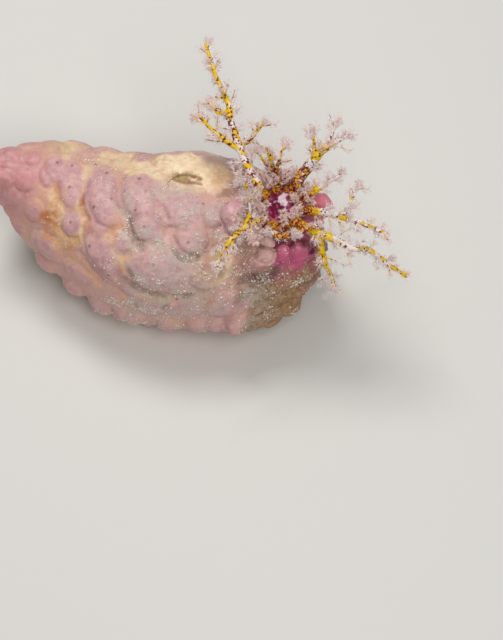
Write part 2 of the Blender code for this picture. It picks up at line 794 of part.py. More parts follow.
def end_twigs(growth, name, line, radius, draw, pieces):
    """A spray of twigs near the tip of a stem."""
    for n in range(4):
        s = line.length - 1.0 - 1.1 * n
        twig = grow(
            growth, name + "_end", name, line.point(s), line.ahead(s), n * GOLDEN_TURN,
            draw.uniform(*TWIG_LENGTHS), min(TWIG_RADIUS, 0.8 * radius(s)), 2, 0.8,
        )
        if twig:
            pieces.append(tube("twig", *twig, TWIG_SIDES, "tentacle", pointed=True))


def stem_length(name, line, radius, start, end, parted_after):
    """A length of the stem. A parted end keeps half the gap off the cut and lies along it."""
    steps = max(2, round((end - start) / STEM_STEP))
    places = np.linspace(start, end, steps + 1)
    points = np.array([line.point(s) for s in places])
    radii = [radius(s) for s in places]
    facing = [line.ahead(start), line.ahead(end)]
    if start > 0:
        points[0] = points[0] + facing[0] * GAP / 2
    if parted_after:
        points[-1] = points[-1] - facing[1] * GAP / 2
    return tube(
        name, points, radii, STEM_SIDES, "tentacle", pointed=not parted_after, facing=facing
    )


def set_origin():
    """Moves every node so that the origin is the bottom centre of the whole animal's box."""
    nodes = [o for o in bpy.context.scene.objects if o.type == "MESH"]
    points = np.array([v.co for o in nodes for v in o.data.vertices])
    low, high = points.min(axis=0), points.max(axis=0)
    shift = Vector((-(low[0] + high[0]) / 2, -(low[1] + high[1]) / 2, 0.0))
    for o in nodes:
        for v in o.data.vertices:
            v.co += shift
        o.data.shade_smooth()
        o.data.set_sharp_from_angle(angle=math.radians(50))
    return shift


def main():
    for o in list(bpy.data.objects):
        bpy.data.objects.remove(o)
    body = [body_length("tail", "tail_skin")]
    body += [trunk(name) for name in ("trunk_rear", "trunk_middle", "trunk_front")]
    body += [collar(), introvert()]
    growth = Growth(body)
    laid = {name: tentacle_lengths(name, spec, growth) for name, spec in TENTACLES.items()}
    for name, spec in TENTACLES.items():
        tentacle(name, spec, *laid[name], growth)
    set_origin()


main()
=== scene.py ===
"""The looks of a life-size warty sea cucumber that rests on its tube feet with its feeding
tentacles spread. Sizes are millimetres in the animal's own frame until a mesh is made. The
head end points along +X and +Z is up."""

import math
import random
from functools import partial

import bmesh
import bpy
import numpy as np
from bpy.props import FloatProperty, FloatVectorProperty, IntProperty, PointerProperty
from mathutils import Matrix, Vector
from mathutils.bvhtree import BVHTree
from mathutils.kdtree import KDTree


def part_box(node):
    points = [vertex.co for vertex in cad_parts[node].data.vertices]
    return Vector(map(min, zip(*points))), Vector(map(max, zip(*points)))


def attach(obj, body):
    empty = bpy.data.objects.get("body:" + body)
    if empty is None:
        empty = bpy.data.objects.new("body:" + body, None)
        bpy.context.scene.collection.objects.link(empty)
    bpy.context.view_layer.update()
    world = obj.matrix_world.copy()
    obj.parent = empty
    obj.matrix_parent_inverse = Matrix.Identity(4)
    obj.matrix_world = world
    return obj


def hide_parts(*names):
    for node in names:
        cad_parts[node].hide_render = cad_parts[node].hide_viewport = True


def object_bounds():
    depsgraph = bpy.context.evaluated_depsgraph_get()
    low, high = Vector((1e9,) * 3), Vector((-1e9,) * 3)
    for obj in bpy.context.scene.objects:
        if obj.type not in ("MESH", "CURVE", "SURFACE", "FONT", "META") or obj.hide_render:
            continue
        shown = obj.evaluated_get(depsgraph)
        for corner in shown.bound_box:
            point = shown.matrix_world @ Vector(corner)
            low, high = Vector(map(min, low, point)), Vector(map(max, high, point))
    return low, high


bl_info = {
    "name": "Warty sea cucumber",
    "version": (1, 0, 0),
    "blender": (4, 5, 0),
    "location": "3D View > Sidebar > Sea Cucumber",
    "description": "Builds a sea cucumber's skin, mouth, tube feet and feeding tentacles",
    "category": "Object",
}

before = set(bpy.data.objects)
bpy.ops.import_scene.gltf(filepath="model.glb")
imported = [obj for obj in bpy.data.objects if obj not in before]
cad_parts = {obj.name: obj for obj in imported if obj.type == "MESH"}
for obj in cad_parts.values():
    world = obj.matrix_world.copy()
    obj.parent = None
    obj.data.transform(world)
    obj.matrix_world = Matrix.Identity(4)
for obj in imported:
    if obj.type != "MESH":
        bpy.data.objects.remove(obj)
CAD_BOX = [list(corner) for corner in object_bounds()]

MM = 0.001
# The tail's lowest corner in the animal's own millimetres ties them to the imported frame.
TAIL_CORNER = (-50.474, 2.189)
ORIGIN = np.array([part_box("tail")[0][i] / MM - TAIL_CORNER[i] for i in range(2)] + [0.0])

# Points round the body and rings to each station, how boxy its sections are above and below
# the middle (2 is an ellipse), and how high the sole lies over the floor.
BODY_SIDES, RINGS_A_STATION = 96, 12
BOXINESS_ABOVE, BOXINESS_BELOW = 2.3, 3.0
SOLE_HEIGHT = 1.0
# How deep the tail's end and the rim are dented, and how often the melted skin is smoothed.
TAIL_DENT, RIM_DENT, SKIN_SMOOTHING = 1.4, 1.5, 6

# Cross-sections of the body from the tail to the rim round the mouth: the middle (x, y, z),
# the heading and pitch there, the half width, and the reach above and below the middle.
STATIONS = np.array(
    [
        (-48.4, 13.4, 36.0, -8, -50, 2.6, 2.6, 2.6),
        (-46.4, 13.6, 34.6, -8, -47, 4.8, 4.8, 4.6),
        (-42.4, 14.0, 32.0, -9, -40, 7.4, 7.4, 7.0),
        (-36.0, 12.6, 27.0, -11, -26, 12.6, 12.2, 11.6),
        (-27.0, 8.4, 21.6, -14, -10, 16.0, 15.4, 15.0),
        (-14.0, 2.6, 20.2, -17, -1, 19.6, 18.8, 18.6),
        (0.0, -0.2, 20.4, -18, 3, 22.2, 19.6, 19.6),
        (13.5, -2.8, 21.0, -20, 12, 21.8, 19.4, 19.8),
        (20.8, -5.2, 22.8, -26, 27, 19.4, 18.2, 20.6),
        (24.2, -6.8, 27.0, -35, 41, 17.2, 15.4, 20.4),
        (26.8, -5.0, 32.6, -46, 56, 13.8, 12.0, 16.4),
        (28.6, -2.8, 38.2, -58, 72, 10.8, 10.0, 10.8),
    ]
)
RIM = len(STATIONS) - 1

# Warts of the near side and back, placed where they are seen from a height of 60 degrees in
# front of the near flank: right and up in that view, the turn of the long axis there in
# degrees, half length, half width and height.
SEEN_FROM = 60
SEEN_WARTS = [
    (-25.9, 25.2, 92, 7.0, 3.2, 1.1),
    (-25.7, 14.1, 90, 3.1, 3.0, 0.9),
    (-17.7, 21.6, 93, 9.0, 4.7, 1.6),
    (-7.4, 21.9, 90, 5.7, 5.4, 1.6),
    (-5.7, 14.0, 100, 4.5, 3.8, 1.5),
    (-17.5, 4.9, -58, 7.4, 3.9, 1.6),
    (-1.3, 1.3, -3, 9.3, 5.7, 2.0),
    (4.1, 17.6, 0, 5.9, 4.9, 1.5),
    (5.6, 9.3, 0, 3.5, 3.5, 1.8),
    (12.4, 16.2, 60, 3.2, 2.6, 1.1),
    (-7.1, 31.0, 30, 3.2, 2.4, 1.0),
    (6.6, 30.6, -8, 9.4, 6.0, 2.4),
    (-33.0, 7.6, -40, 4.4, 3.6, 1.7),
    (-12.0, 8.5, 90, 2.2, 2.0, 0.8),
    (-10.3, -3.5, -40, 3.2, 2.4, 1.1),
    (-23.8, 0.2, -35, 5.0, 2.6, 1.1),
    (9.6, 0.3, 80, 3.5, 2.9, 1.1),
    (21.8, 3.1, 0, 2.0, 2.0, 1.4),
    (24.3, 1.4, 0, 1.8, 1.8, 1.2),
    (14.6, -8.4, 20, 4.2, 3.0, 1.4),
    (34.8, -4.5, 0, 2.3, 2.3, 1.3),
    (32.7, -8.8, 0, 2.9, 2.9, 1.2),
    (37.2, 0.2, 60, 2.5, 2.1, 0.9),
    (-30.4, 29.0, 100, 3.6, 2.4, 0.9),
    (-3.0, -8.4, 0, 5.0, 2.7, 1.1),
    (4.6, -8.8, 0, 4.0, 2.7, 1.1),
]
# The hump on the back is cream, not pink: its row number above.
CREAM_WARTS = (11,)
# Peaked warts on the lower near edge: the same figures.
SEEN_PEAKS = [
    (-12.7, -9.9, 0, 2.6, 2.3, 2.2),
    (-5.7, -13.0, 0, 2.8, 2.5, 2.6),
    (18.2, -12.6, 0, 2.9, 2.9, 3.4),
]
# The slit on the back, as seen: its film as right, up, half sizes and turn, its edge, with painted
# shadow under its lip, and its red streak as places that they pass, and its depth.
SEEN_SLIT = (4.4, 25.7, 4.7, 1.5, -8)
SLIT_EDGE = [
    (-0.2, 23.2), (0.0, 24.6), (0.4, 25.5), (1.3, 26.1), (2.6, 26.4), (4.1, 26.5), (5.7, 26.3),
    (7.3, 25.9), (8.6, 25.3),
]
SLIT_STREAK = [(5.2, 24.9), (6.9, 24.6), (8.7, 24.2)]
SLIT_DEPTH, SLIT_EDGE_WIDTH, SLIT_STREAK_WIDTH = 0.40, 0.30, 0.42
# Gullies between warts, as seen, cut in and darkened with painted shade: the places that each passes, their
# width and their depth.
GULLIES = [
    [(-10.5, 16.2), (-9.6, 12.6), (-8.9, 10.3), (-6.8, 6.8)],
    [(1.6, 10.0), (3.0, 7.4), (4.6, 6.0), (8.2, 5.0)],
    [(-10.6, 2.0), (-8.3, -2.2), (-5.1, -4.6), (0.8, -5.1), (6.8, -4.8)],
    [(-20.9, 19.0), (-18.9, 14.3), (-15.7, 12.6)],
    [(-22.2, 10.5), (-21.0, 5.4), (-16.5, 0.3), (-14.2, -1.6)],
    [(-4.0, 20.4), (-1.2, 18.0), (0.4, 14.4)],
    [(-11.6, 27.0), (-13.0, 22.6), (-12.4, 18.4)],
]
GULLY_WIDTH, GULLY_DEPTH = 0.85, 0.35
# Rows on the sides that face away, by degrees round the body (0 far side, 90 back, 180 near
# side, 270 belly), half size and height, then the station numbers at which they start and end
# and their spacing.
HIDDEN_ROWS = ((32, 4.6, 1.7), (3, 4.4, 1.8), (334, 3.6, 2.2), (206, 3.0, 1.8))
HIDDEN_ROW_FIRST, HIDDEN_ROW_LAST, HIDDEN_ROW_STEP = 3.7, 8.8, 0.62
# Small warts strewn between those of the far side: how many, the stations and degrees between
# which they lie, and the least and greatest half length, half width and height.
SMALL_WARTS, SMALL_WART_STATIONS, SMALL_WART_DEGREES = 60, (3.4, 8.8), (-48, 52)
SMALL_WART_SIZES = ((1.2, 2.6), (1.0, 2.0), (0.4, 1.1))
# Rings of warts on the tail: their stations, the warts in each, and a wart's sizes.
TAIL_RINGS, TAIL_WARTS_ROUND, TAIL_WART = (1.3, 2.1, 2.9), 7, (2.3, 2.6, 0.6)

# Small dark pores where tube feet are drawn in, as seen: right and up.
SEEN_PORES = [
    (-30.0, 29.7), (-26.2, 28.9), (-26.5, 23.2), (-19.7, 29.2), (-16.5, 26.7), (-19.4, 17.8),
    (-14.9, 20.0), (-7.8, 25.1), (-5.9, 21.6), (-25.7, 14.3), (-20.3, 8.1), (-15.4, 0.8),
    (-3.5, 3.3), (5.4, 8.7), (4.9, 13.0), (2.2, -6.2), (-11.6, 21.9), (9.2, 18.6),
    (-8.6, 17.2), (-1.4, -1.6), (13.8, 13.4), (-6.2, 12.6),
]
PORE_RADIUS = 0.30

# The collar's lobes, which shut over the mouth, and its small round warts: degrees round the
# mouth, distance from its axis, height over the rim, half sizes across, round and up, colour.
LOBES = [
    (74, 9.6, 0.3, 2.8, 3.2, 3.8, "petal"),
    (12, 12.1, 0.1, 2.8, 3.4, 4.8, "coral"),
    (281, 11.0, -1.6, 2.7, 3.2, 4.8, "magenta"),
    (301, 11.4, -1.4, 2.7, 4.0, 4.8, "magenta"),
    (192, 10.6, 0.4, 3.9, 4.8, 4.1, "petal"),
    (252, 8.9, 1.8, 2.0, 2.2, 2.6, "knob"),
    (255, 11.7, -0.2, 2.3, 2.7, 2.9, "knob"),
    (130, 10.3, 0.0, 2.7, 3.4, 3.0, "petal"),
]
LOBE_SIZES = slice(3, 6)

# The soft dome round the mouth as radius and height over the rim, and the bosses that the
# tentacles stand on: their ring's radius and height, lean in degrees and depth in the dome.
INTROVERT_PROFILE = [
    (6.5, 0.0), (6.8, 1.4), (6.6, 3.4), (5.5, 4.9), (3.5, 5.7), (2.0, 5.2), (1.2, 3.4)
]
INTROVERT_SIDES, INTROVERT_RINGS, INTROVERT_LIFT, INTROVERT_ENDS = 72, 30, 0.1, (-0.8, 3.0)
BOSS_RING, BOSS_HEIGHT, BOSS_LEAN, BOSS_SUNK = 6.3, 6.2, 44, 4.2
BOSS_SIDES, BOSS_FULLNESS = 16, 1.12
# The lips: how many folds, the ball under them as distances right, far and up from the rim's
# middle and half sizes, the folds' own middle, heights, ring and half sizes, and the middle of
# their paleness.
LIPS, LIP_BODY, LIP_BODY_HALVES = 22, (0.4, 0.9, 3.7), (1.9, 2.2, 1.1)
LIP_MIDDLE, LIP_HEIGHTS, LIP_RING = (0.8, 1.7), (4.0, 5.2), 1.9
LIP_SIZES = ((0.5, 1.5), (0.3, 0.6), (0.3, 0.7))
PALE_LIP_MIDDLE = (1.0, 1.9)
# Side of the mouth's smallest faces in metres, and how often it is smoothed.
MOUTH_DETAIL, MOUTH_SMOOTHING = 0.16 * MM, 5

# Tentacles. Every one has its degrees round the mouth, how yellow it is (gilt) at distances
# from the mouth, the number of tufts at its root with their lean away from the mouth and the
# share of the usual reach of its side branches, the radii at the root and near the tip, the
# points that its stem passes, and its thick forks as share of the stem's length, radius and
# points. Some also have the distance from the mouth where the amber ends (amber_reach), how
# streaked with dark red the stem is (streaky), how much more yellow the forks are (fork_gilt),
# how many twigs stand at each tip and how far they reach (brush), which part of the root the
# tufts take up (tuft_sides) and how far they reach (tuft_reach).
TENTACLES = {
    "tentacle_1": dict(
        round_mouth=140,
        gilt=((7, 0.4), (12, -0.2), (26, 0.3), (34, 1.0)),
        tufts=(6, 0.1, 1.0),
        amber_reach=10.5,
        streaky=1.0,
        fork_gilt=0.9,
        radii=(1.35, 0.36),
        points=[(21.4, 4.8, 48.8), (18.9, 10.4, 49.8), (16.7, 17.0, 51.6), (15.6, 22.6, 52.8),
                (13.0, 28.6, 54.6), (10.0, 38.6, 56.4)],
        forks=[(0.30, 0.85, [(12.6, 14.0, 51.2), (8.4, 18.4, 52.0)]),
               (0.33, 0.80, [(22.0, 12.6, 51.0), (25.0, 15.6, 52.2)]),
               (0.55, 0.65, [(13.2, 18.6, 53.8), (11.2, 20.6, 55.0)])],
    ),
    "tentacle_2": dict(
        round_mouth=56,
        gilt=((8, 1.0), (14, 0.7), (15.5, -0.4), (17, 0.6), (20, 1.2), (22, 0.6), (24, -2.5)),
        amber_reach=17.5,
        brush=(9, 5.6),
        tufts=(6, 0.1, 1.0),
        streaky=0.7,
        fork_gilt=0.8,
        radii=(1.70, 1.00),
        points=[(36.0, 4.2, 48.8), (39.3, 6.7, 51.7), (42.0, 7.9, 53.8)],
        forks=[(0.66, 0.70, [(38.6, 8.8, 54.2), (38.4, 10.6, 55.6)]),
               (0.90, 0.50, [(42.6, 10.0, 54.8), (43.8, 12.6, 56.4)]),
               (0.94, 0.50, [(44.2, 8.8, 54.4), (46.6, 9.6, 55.4)])],
    ),
    "tentacle_3": dict(
        round_mouth=100,
        gilt=((8, 0.9),),
        amber_reach=17.0,
        tufts=(18, 0.5, 1.0),
        tuft_sides=(-0.4, 1.5),
        tuft_reach=(3.0, 7.0),
        brush=(9, 3.6),
        radii=(1.05, 0.36),
        points=[(28.2, 3.4, 50.2), (27.2, 4.4, 53.6), (26.4, 5.8, 56.8)],
        forks=[(0.35, 0.6, [(29.4, 5.6, 52.4), (30.2, 7.4, 54.2)]),
               (0.30, 0.6, [(25.6, 4.4, 52.0), (24.0, 6.0, 54.0)])],
    ),
    "tentacle_4": dict(
        round_mouth=24,
        gilt=((8, 0.7), (11, 0.6), (14, -0.9)),
        tufts=(3, 0.3, 0.75),
        radii=(1.15, 0.42),
        points=[(39.4, -0.4, 47.2), (42.4, 0.0, 49.6), (45.4, 0.6, 51.6)],
        forks=[],
    ),
    "tentacle_5": dict(
        round_mouth=352,
        gilt=((9, 0.5), (14, -0.4), (22, -0.3), (28, 1.0)),
        tufts=(4, -0.9, 1.0),
        radii=(1.30, 0.42),
        points=[(41.6, -7.4, 45.6), (46.2, -9.1, 46.6), (51.0, -11.2, 46.8), (56.0, -13.0, 45.6)],
        forks=[(0.52, 0.60, [(48.2, -5.6, 49.0), (49.6, -3.4, 50.8)])],
    ),
    "tentacle_6": dict(
        round_mouth=318,
        gilt=((10, 0.9), (14, 0.8), (17, 0.6), (21, -0.5), (30, -0.2), (38, 1.0)),
        tufts=(5, -0.8, 1.0),
        fork_gilt=1.1,
        radii=(1.35, 0.36),
        points=[(39.4, -12.4, 44.2), (43.4, -13.9, 43.6), (48.0, -15.6, 42.2),
                (53.2, -15.8, 40.4), (57.6, -18.2, 38.0), (62.6, -21.0, 35.6)],
        forks=[(0.20, 1.05, [(40.8, -16.6, 40.4), (42.0, -18.8, 36.4), (44.0, -21.4, 31.4)])],
    ),
    "tentacle_7": dict(
        round_mouth=284,
        gilt=((8, 1.0),),
        amber_reach=18.0,
        brush=(2, 1.0),
        tufts=(2, -0.8, 0.2),
        radii=(1.00, 0.40),
        points=[(32.6, -13.4, 45.4), (33.6, -14.8, 48.8)],
        forks=[(0.35, 1.1, [(34.3, -12.5, 45.2), (37.0, -12.2, 45.8), (39.4, -11.3, 46.4)])],
    ),
    "tentacle_8": dict(
        round_mouth=214,
        gilt=((8, 0.3), (13, 0.4), (18, 0.9)),
        amber_reach=11.0,
        streaky=0.7,
        tufts=(24, 1.1, 1.0),
        tuft_reach=(2.4, 5.6),
        radii=(1.00, 0.36),
        points=[(20.9, -11.0, 45.6), (17.6, -13.6, 44.8), (14.6, -17.0, 43.2), (13.0, -19.6, 41.4)],
        forks=[(0.34, 0.62, [(21.6, -8.2, 48.4), (21.8, -5.6, 50.8)])],
    ),
    "tentacle_9": dict(
        round_mouth=176,
        gilt=((8, 0.5), (12, -0.3)),
        amber_reach=10.0,
        tufts=(20, 0.0, 1.0),
        tuft_sides=(-0.6, 1.5),
        tuft_reach=(2.4, 5.0),
        radii=(0.95, 0.34),
        points=[(21.2, -3.8, 49.4), (20.2, -3.0, 52.6), (19.2, -1.8, 55.6)],
        forks=[],
    ),
    "tentacle_10": dict(
        round_mouth=248,
        gilt=((8, 1.0),),
        amber_reach=18.0,
        brush=(2, 1.0),
        tufts=(2, -0.8, 0.2),
        radii=(1.00, 0.40),
        points=[(26.6, -13.2, 46.0), (26.4, -14.8, 49.4)],
        forks=[(0.35, 1.1, [(28.9, -13.5, 44.8), (31.6, -14.0, 45.0), (34.3, -13.7, 45.2)])],
    ),
}
# The skin's colouring: how close the fine rings round warts lie, how much they are bent and cut
# in, and how high a cell's random value is, of 1, where grains are rarest.
RINGS_ROUND_WART, RINGS_BENT, RING_DEPTH, RAREST_GRAINS = 48.0, 26.0, 0.7, 0.98
# How hard warts that overlap merge: 1 adds them up, more keeps the higher one.
UNION = 4
# A wart in shares of its half sizes: how far it is felt, where its edge lies and how much nearer
# on its steep side, and how wide the crease is outside and inside the edge. Then the powers that
# make its dome full, fuller on the steep side, or peaked.
WART_REACH, WART_EDGE, STEEP_EDGE, CREASE_OUTSIDE, CREASE_INSIDE = 2.2, 1.55, 0.38, 0.30, 0.16
FAR_FROM_WARTS = 2.5
DOME_POWER, STEEP_POWER, PEAK_POWER = 1.9, 1.3, 1.7
# The way that warts sag, to the tail, down and to their own side, and how far the line between
# the sides lies beyond the body's middle.
SAG_BACK, SAG_DOWN, SAG_SIDE, SIDES_LINE = 0.6, 0.4, 0.69, 6
# Where the belly and the front of the neck fade in and out, in degrees round the body, and the
# stations over which the belly starts.
BELLY_NEAR, BELLY_FAR, BELLY_STATIONS = (222, 250), (318, 290), (2.6, 3.6)
NECK_NEAR, NECK_FAR = (196, 222), (352, 330)
# Heights of the folds of neck and tail, and the depth of the gaps between lobes.
NECK_FOLD_HEIGHT, TAIL_FOLD_HEIGHT, LOBE_GAP_DEPTH = 0.50, 0.22, 0.6
# The rim fades in over these heights and distances from the mouth's axis, and flattens relief by
# this share. Its inner side fades in over these distances and x, and the throat likewise.
RIM_HEIGHTS, RIM_DISTANCES, RIM_CALM = (-4.2, -1.0), (14.5, 11.5), 0.75
INNER_RIM_DISTANCES, INNER_RIM_X = (11.5, 8.6), (27.0, 30.0)
THROAT_HEIGHTS, THROAT_DISTANCES = (-2.4, 0.2), (8.4, 7.0)
# How far behind the last ring the tail opens, and the distances over which that turns dark.
OPENING_BEHIND, OPENING_DISTANCES = 2.6, (2.4, 0.8)
# How much fuller the dressed stems are than the radii above, how far apart the points of a
# stem lie, how far it strays from a straight line, how far each shoot turns from the one
# before, and how far twigs may leave the solids' box.
STEM_FULLNESS, STEM_STEP, BEND = 1.12, 0.45, 0.45
# How deep a stem starts in its boss, how far it first follows the boss's lean, and how thick a
# fork ends as a share of its root.
STEM_SUNK, STEM_RISE, FORK_TIP = 3.0, 2.2, 0.40
# Orders of shoots, each with some of these: how many grow on each parent, the shares of its
# length between which they stand, their reach and thickness at the root in mm, the angle at
# which they leave it, in radians, how far they bend back to its way, their number of steps, and
# the share of them that leave to the left and right as the camera sees them.
SIDE_ARMS = dict(angle=0.95, sideways=0.75)
TIP_ARMS = dict(count=2, shares=(0.93, 0.99), thickness=0.24, angle=0.42)
TIP_TWIGS = dict(shares=(0.88, 0.99), thickness=0.16, angle=0.45)
SPRAYS = dict(thickness=0.22, angle=0.9, bend=0.1, sideways=0.6)
HAIRS = dict(reach=1.7, angle=1.15, sideways=0.3)
TWIGS = dict(shares=(0.3, 0.99), angle=0.8, bend=0.25)
TWIGLETS = dict(shares=(0.25, 0.97), reach=0.95, thickness=0.095, angle=0.8, bend=0.2, steps=3)
SPURS = dict(count=2, shares=(0.4, 0.95), reach=0.42, thickness=0.065, angle=0.8, bend=0.2, steps=2)
FRONDS = dict(
    count=15, shares=(0.12, 0.99), reach=1.7, thickness=0.15, angle=0.8, bend=0.4, steps=4, sideways=0.7
)
FRINGE = dict(count=9, shares=(0.15, 0.98), reach=0.62, thickness=0.085, angle=0.85, steps=2, sideways=0.7)
# Where shoots start on a stem and on a fork, with the reach of side arms there, where side arms
# and the others end, the reach of arms at the tip, of sprays and of twigs, and the usual twigs
# at a tip with their reach.
ON_STEM, ON_FORK, ARMS_END, SHOOTS_END = (0.22, 3.3), (0.3, 2.4), 0.96, 0.99
TIP_ARM_REACH, SPRAY_REACH, TWIG_REACH, BRUSH = 3.4, 5.4, 1.75, (3, 3.2)
# How far arms, twigs and the tufts' fronds keep off the skin.
ARMS_CLEAR, TWIGS_CLEAR, FRONDS_CLEAR = 0.35, 0.2, 0.15
# The tufts: how far their roots stray along the ring round the mouth, outwards and down, which
# part of it they take up, their reach, their radii at root and tip, and their number of points.
TUFT_AROUND, TUFT_OUTWARD, TUFT_DOWN = 2.6, 1.2, (0.2, 1.0)
TUFT_SIDES, TUFT_REACH, TUFT_RADII, TUFT_POINTS = (-1, 1), (2.0, 4.4), (0.42, 0.16), 6
# How high over the rim the place lies from which gilt and amber are measured, how far the amber
# usually reaches, and over what distance it fades.
GILT_HEIGHT, AMBER_REACH, AMBER_FADE = 4.0, 13.5, 6.5
GOLDEN_TURN = math.radians(137.5)
BOX_MARGIN = 0.9

# Rows of tube feet, by distance from the sole's middle line, their spacing and where they
# start and end, the jitter of each foot along and across its row, the greatest height of the
# skin that one hangs from, the share left out, and their spread of sizes and leans. A foot's
# sucker is given as heights and how far its radius is between the stalk's and the disc's.
FOOT_ROWS = (-14.5, -11.0, -1.6, 1.6, 11.0, 14.5)
FOOT_STEP, FOOT_FIRST, FOOT_LAST = 2.2, -27.0, 26.0
FOOT_JITTER, FOOT_SKIN_HEIGHT, FEET_LEFT_OUT = (0.7, 0.5), 3.4, 0.2
FOOT_SIZES, FOOT_LEAN, FOOT_SIDES = (0.6, 1.1), 0.2, 12
SUCKER_PROFILE = [(0.0, 1.0), (0.22, 0.98), (0.42, 0.72), (0.6, 0.0)]
STALK_START, STALK_SUNK, STALK_RINGS = 0.75, 0.8, 4

# How strongly grains of sand keep to their crowds, the spread of their sizes and its limits,
# and how deep a grain's middle lies over the skin as a share of its radius.
GRAIN_CROWDING, GRAIN_SPREAD, GRAIN_LIMITS, GRAIN_RISE = 2.2, 0.5, (0.5, 2.4), 0.35

# The camera: lens and sensor, the height of the picture at the animal, the view's middle in
# the animal's own view (right and up), and how far the body's middle lies above it.
LENS, SENSOR, PICTURE_HEIGHT_MM = 180.0, 36.0, 172.8
BODY_MIDDLE = (0.0, -2.0, 21.0)
VIEW_MIDDLE, BODY_ABOVE_MIDDLE = (22.0, -12.1), 24.0
DISTANCE = PICTURE_HEIGHT_MM / SENSOR * LENS
# The floor's half side and, for each lamp, place and size, in metres.
FLOOR_HALF = 2.5
KEY_PLACE, KEY_SIZE = (-0.10, 0.23, 0.58), 0.22
FILL_PLACE, FILL_SIZE = (0.14, -0.37, 0.66), 0.36
LIT_PLACE = (0, 0, 0.02)
SKY_COLOUR = (0.95, 0.97, 1.0, 1.0)


def linear(hex_colour):
    """An sRGB hex colour as linear red, green, blue and alpha."""
    values = [int(hex_colour[i : i + 2], 16) / 255 for i in (1, 3, 5)]
    return [v / 12.92 if v <= 0.04045 else ((v + 0.055) / 1.055) ** 2.4 for v in values] + [1.0]


def per(mm):
    """Texture scale for lumps of about that many millimetres."""
    return 1 / (mm * MM)


def add(tree, kind, inputs=None, **settings):
    """Adds a node, sets what is given on it, and sets or links its inputs."""
    node = tree.nodes.new(kind)
    for name, value in settings.items():
        setattr(node, name, value)
    feed(tree, node, inputs or {})
    return node


def feed(tree, node, inputs):
    """Links each input that is given a socket, and sets the others."""
    for key, value in inputs.items():
        if isinstance(value, bpy.types.NodeSocket):
            tree.links.new(value, node.inputs[key])
        else:
            node.inputs[key].default_value = value


def new_material(name, stored=()):
    """A material, its nodes, its shader, the place on the object, and what is stored on the mesh."""
    made = bpy.data.materials.new(name)
    made.use_nodes = True
    tree = made.node_tree
    place = add(tree, "ShaderNodeTexCoord").outputs["Object"]
    masks = {name: add(tree, "ShaderNodeAttribute", attribute_name=name).outputs["Fac"] for name in stored}
    return made, tree, tree.nodes["Principled BSDF"], place, masks


def faded(tree, masks, source, low, high, top):
    """A mask that rises softly from 0, where the source has the low value, to its top at the high
    one, which may be the lesser of the two. The top is a number, another mask's name, or what
    this function takes to make one."""
    if isinstance(top, tuple):
        top = faded(tree, masks, *top)
    elif isinstance(top, str):
        top = masks[top]
    inputs = {"Value": masks[source], "From Min": low, "From Max": high, "To Max": top}
    return add(tree, "ShaderNodeMapRange", inputs, interpolation_type="SMOOTHSTEP").outputs["Result"]


def painted(tree, masks, flesh, coats):
    """Lays coats of colour over the flesh. Each has its colour and the mask that it goes through,
    or the source, low and high value and top that make one."""
    for over, source, *fade in coats:
        mask = faded(tree, masks, source, *fade) if fade else masks[source]
        flesh = add(tree, "ShaderNodeMix", {0: mask, 6: flesh, 7: over}, data_type="RGBA").outputs[2]
    return flesh


def colour(name, words, hex_colour):
    return FloatVectorProperty(
        name=name, description=words, subtype="COLOR", size=4, min=0, max=1, default=linear(hex_colour)
    )


def length(name, words, mm):
    return FloatProperty(name=name, description=words, default=mm * MM, unit="LENGTH", subtype="DISTANCE")


class SkinSettings(bpy.types.PropertyGroup):
    detail: length("Skin detail", "Side of the smallest faces of the skin", 0.34)
    wart_relief: FloatProperty(
        name="Wart relief", description="How far warts stand out, as a share of the real", default=1.0
    )
    crease_depth: length("Crease depth", "Depth of the furrow between warts", 0.14)
    grain: length("Grain", "Size of the fine lumps all over the skin", 0.9)
    wart_pink: colour("Wart pink", "Tops of the warts", "#D6A7A5")
    wart_lilac: colour("Wart lilac", "Second colour of the warts", "#C39095")
    # Painted shade in the creases under the warts.
    wart_shade: colour("Wart shade", "Creases under the warts", "#9C6262")
    cream: colour("Cream", "Furrows between the warts", "#EDCFA6")
    pale: colour("Pale cream", "The brightest skin, on the hump", "#FFE9C4")
    peach: colour("Peach", "Second colour of the furrows", "#DDA98F")
    # Partly painted shade along the hump's top edge.
    mauve: colour("Mauve", "The hump's far end", "#AE9189")
    knob: colour("Knob", "Small round warts of the collar", "#F0C4BC")
    petal: colour("Petal", "The collar's lobes", "#E6B3B7")
    petal_deep: colour("Petal deep", "Second colour of the lobes", "#D27F90")
    orange: colour("Orange", "Warm patches in the furrows", "#D0854A")
    rust: colour("Rust", "Small rusty spots in those patches", "#B96A2C")
    tan: colour("Tan", "Belly and the front of the neck", "#876B38")
    # Painted shade: darkens dents and the gaps between the collar's lobes.
    shade_brown: colour("Brown", "Dents beside the slit and under the collar", "#8A6248")
    # Also the painted shade in folds and gaps, and the dark specks.
    umber: colour("Umber", "Folds of the belly and neck", "#58323A")
    tail_pink: colour("Tail pink", "The tail's salmon skin", "#CF8E8C")
    blush: colour("Blush", "Where the collar's magenta fades", "#C06474")
    magenta: colour("Magenta", "Inner edge of the collar", "#CF5A86")
    lining: colour("Lining", "Film in the slit on the back", "#9C7636")
    # Painted shadow under the slit's upper lip.
    slit_edge_shadow: colour("Lining deep", "Dark edge of that slit", "#6E4C1E")
    streak: colour("Streak", "Red streak at that slit's end", "#93504E")
    coral: colour("Coral", "The brightest lobe of the collar", "#F68AA0")
    pore: colour("Pore", "Drawn-in tube feet", "#66424F")
    # Dust in the furrows, and painted shade in them.
    mud_and_shade: colour("Mud", "Thicker dust in the furrows", "#8A7263")
    silt: colour("Silt", "Fine dust on the back", "#C5B8AC")
    grit: colour("Grit", "Pale grains in the dust", "#F0ECE6")


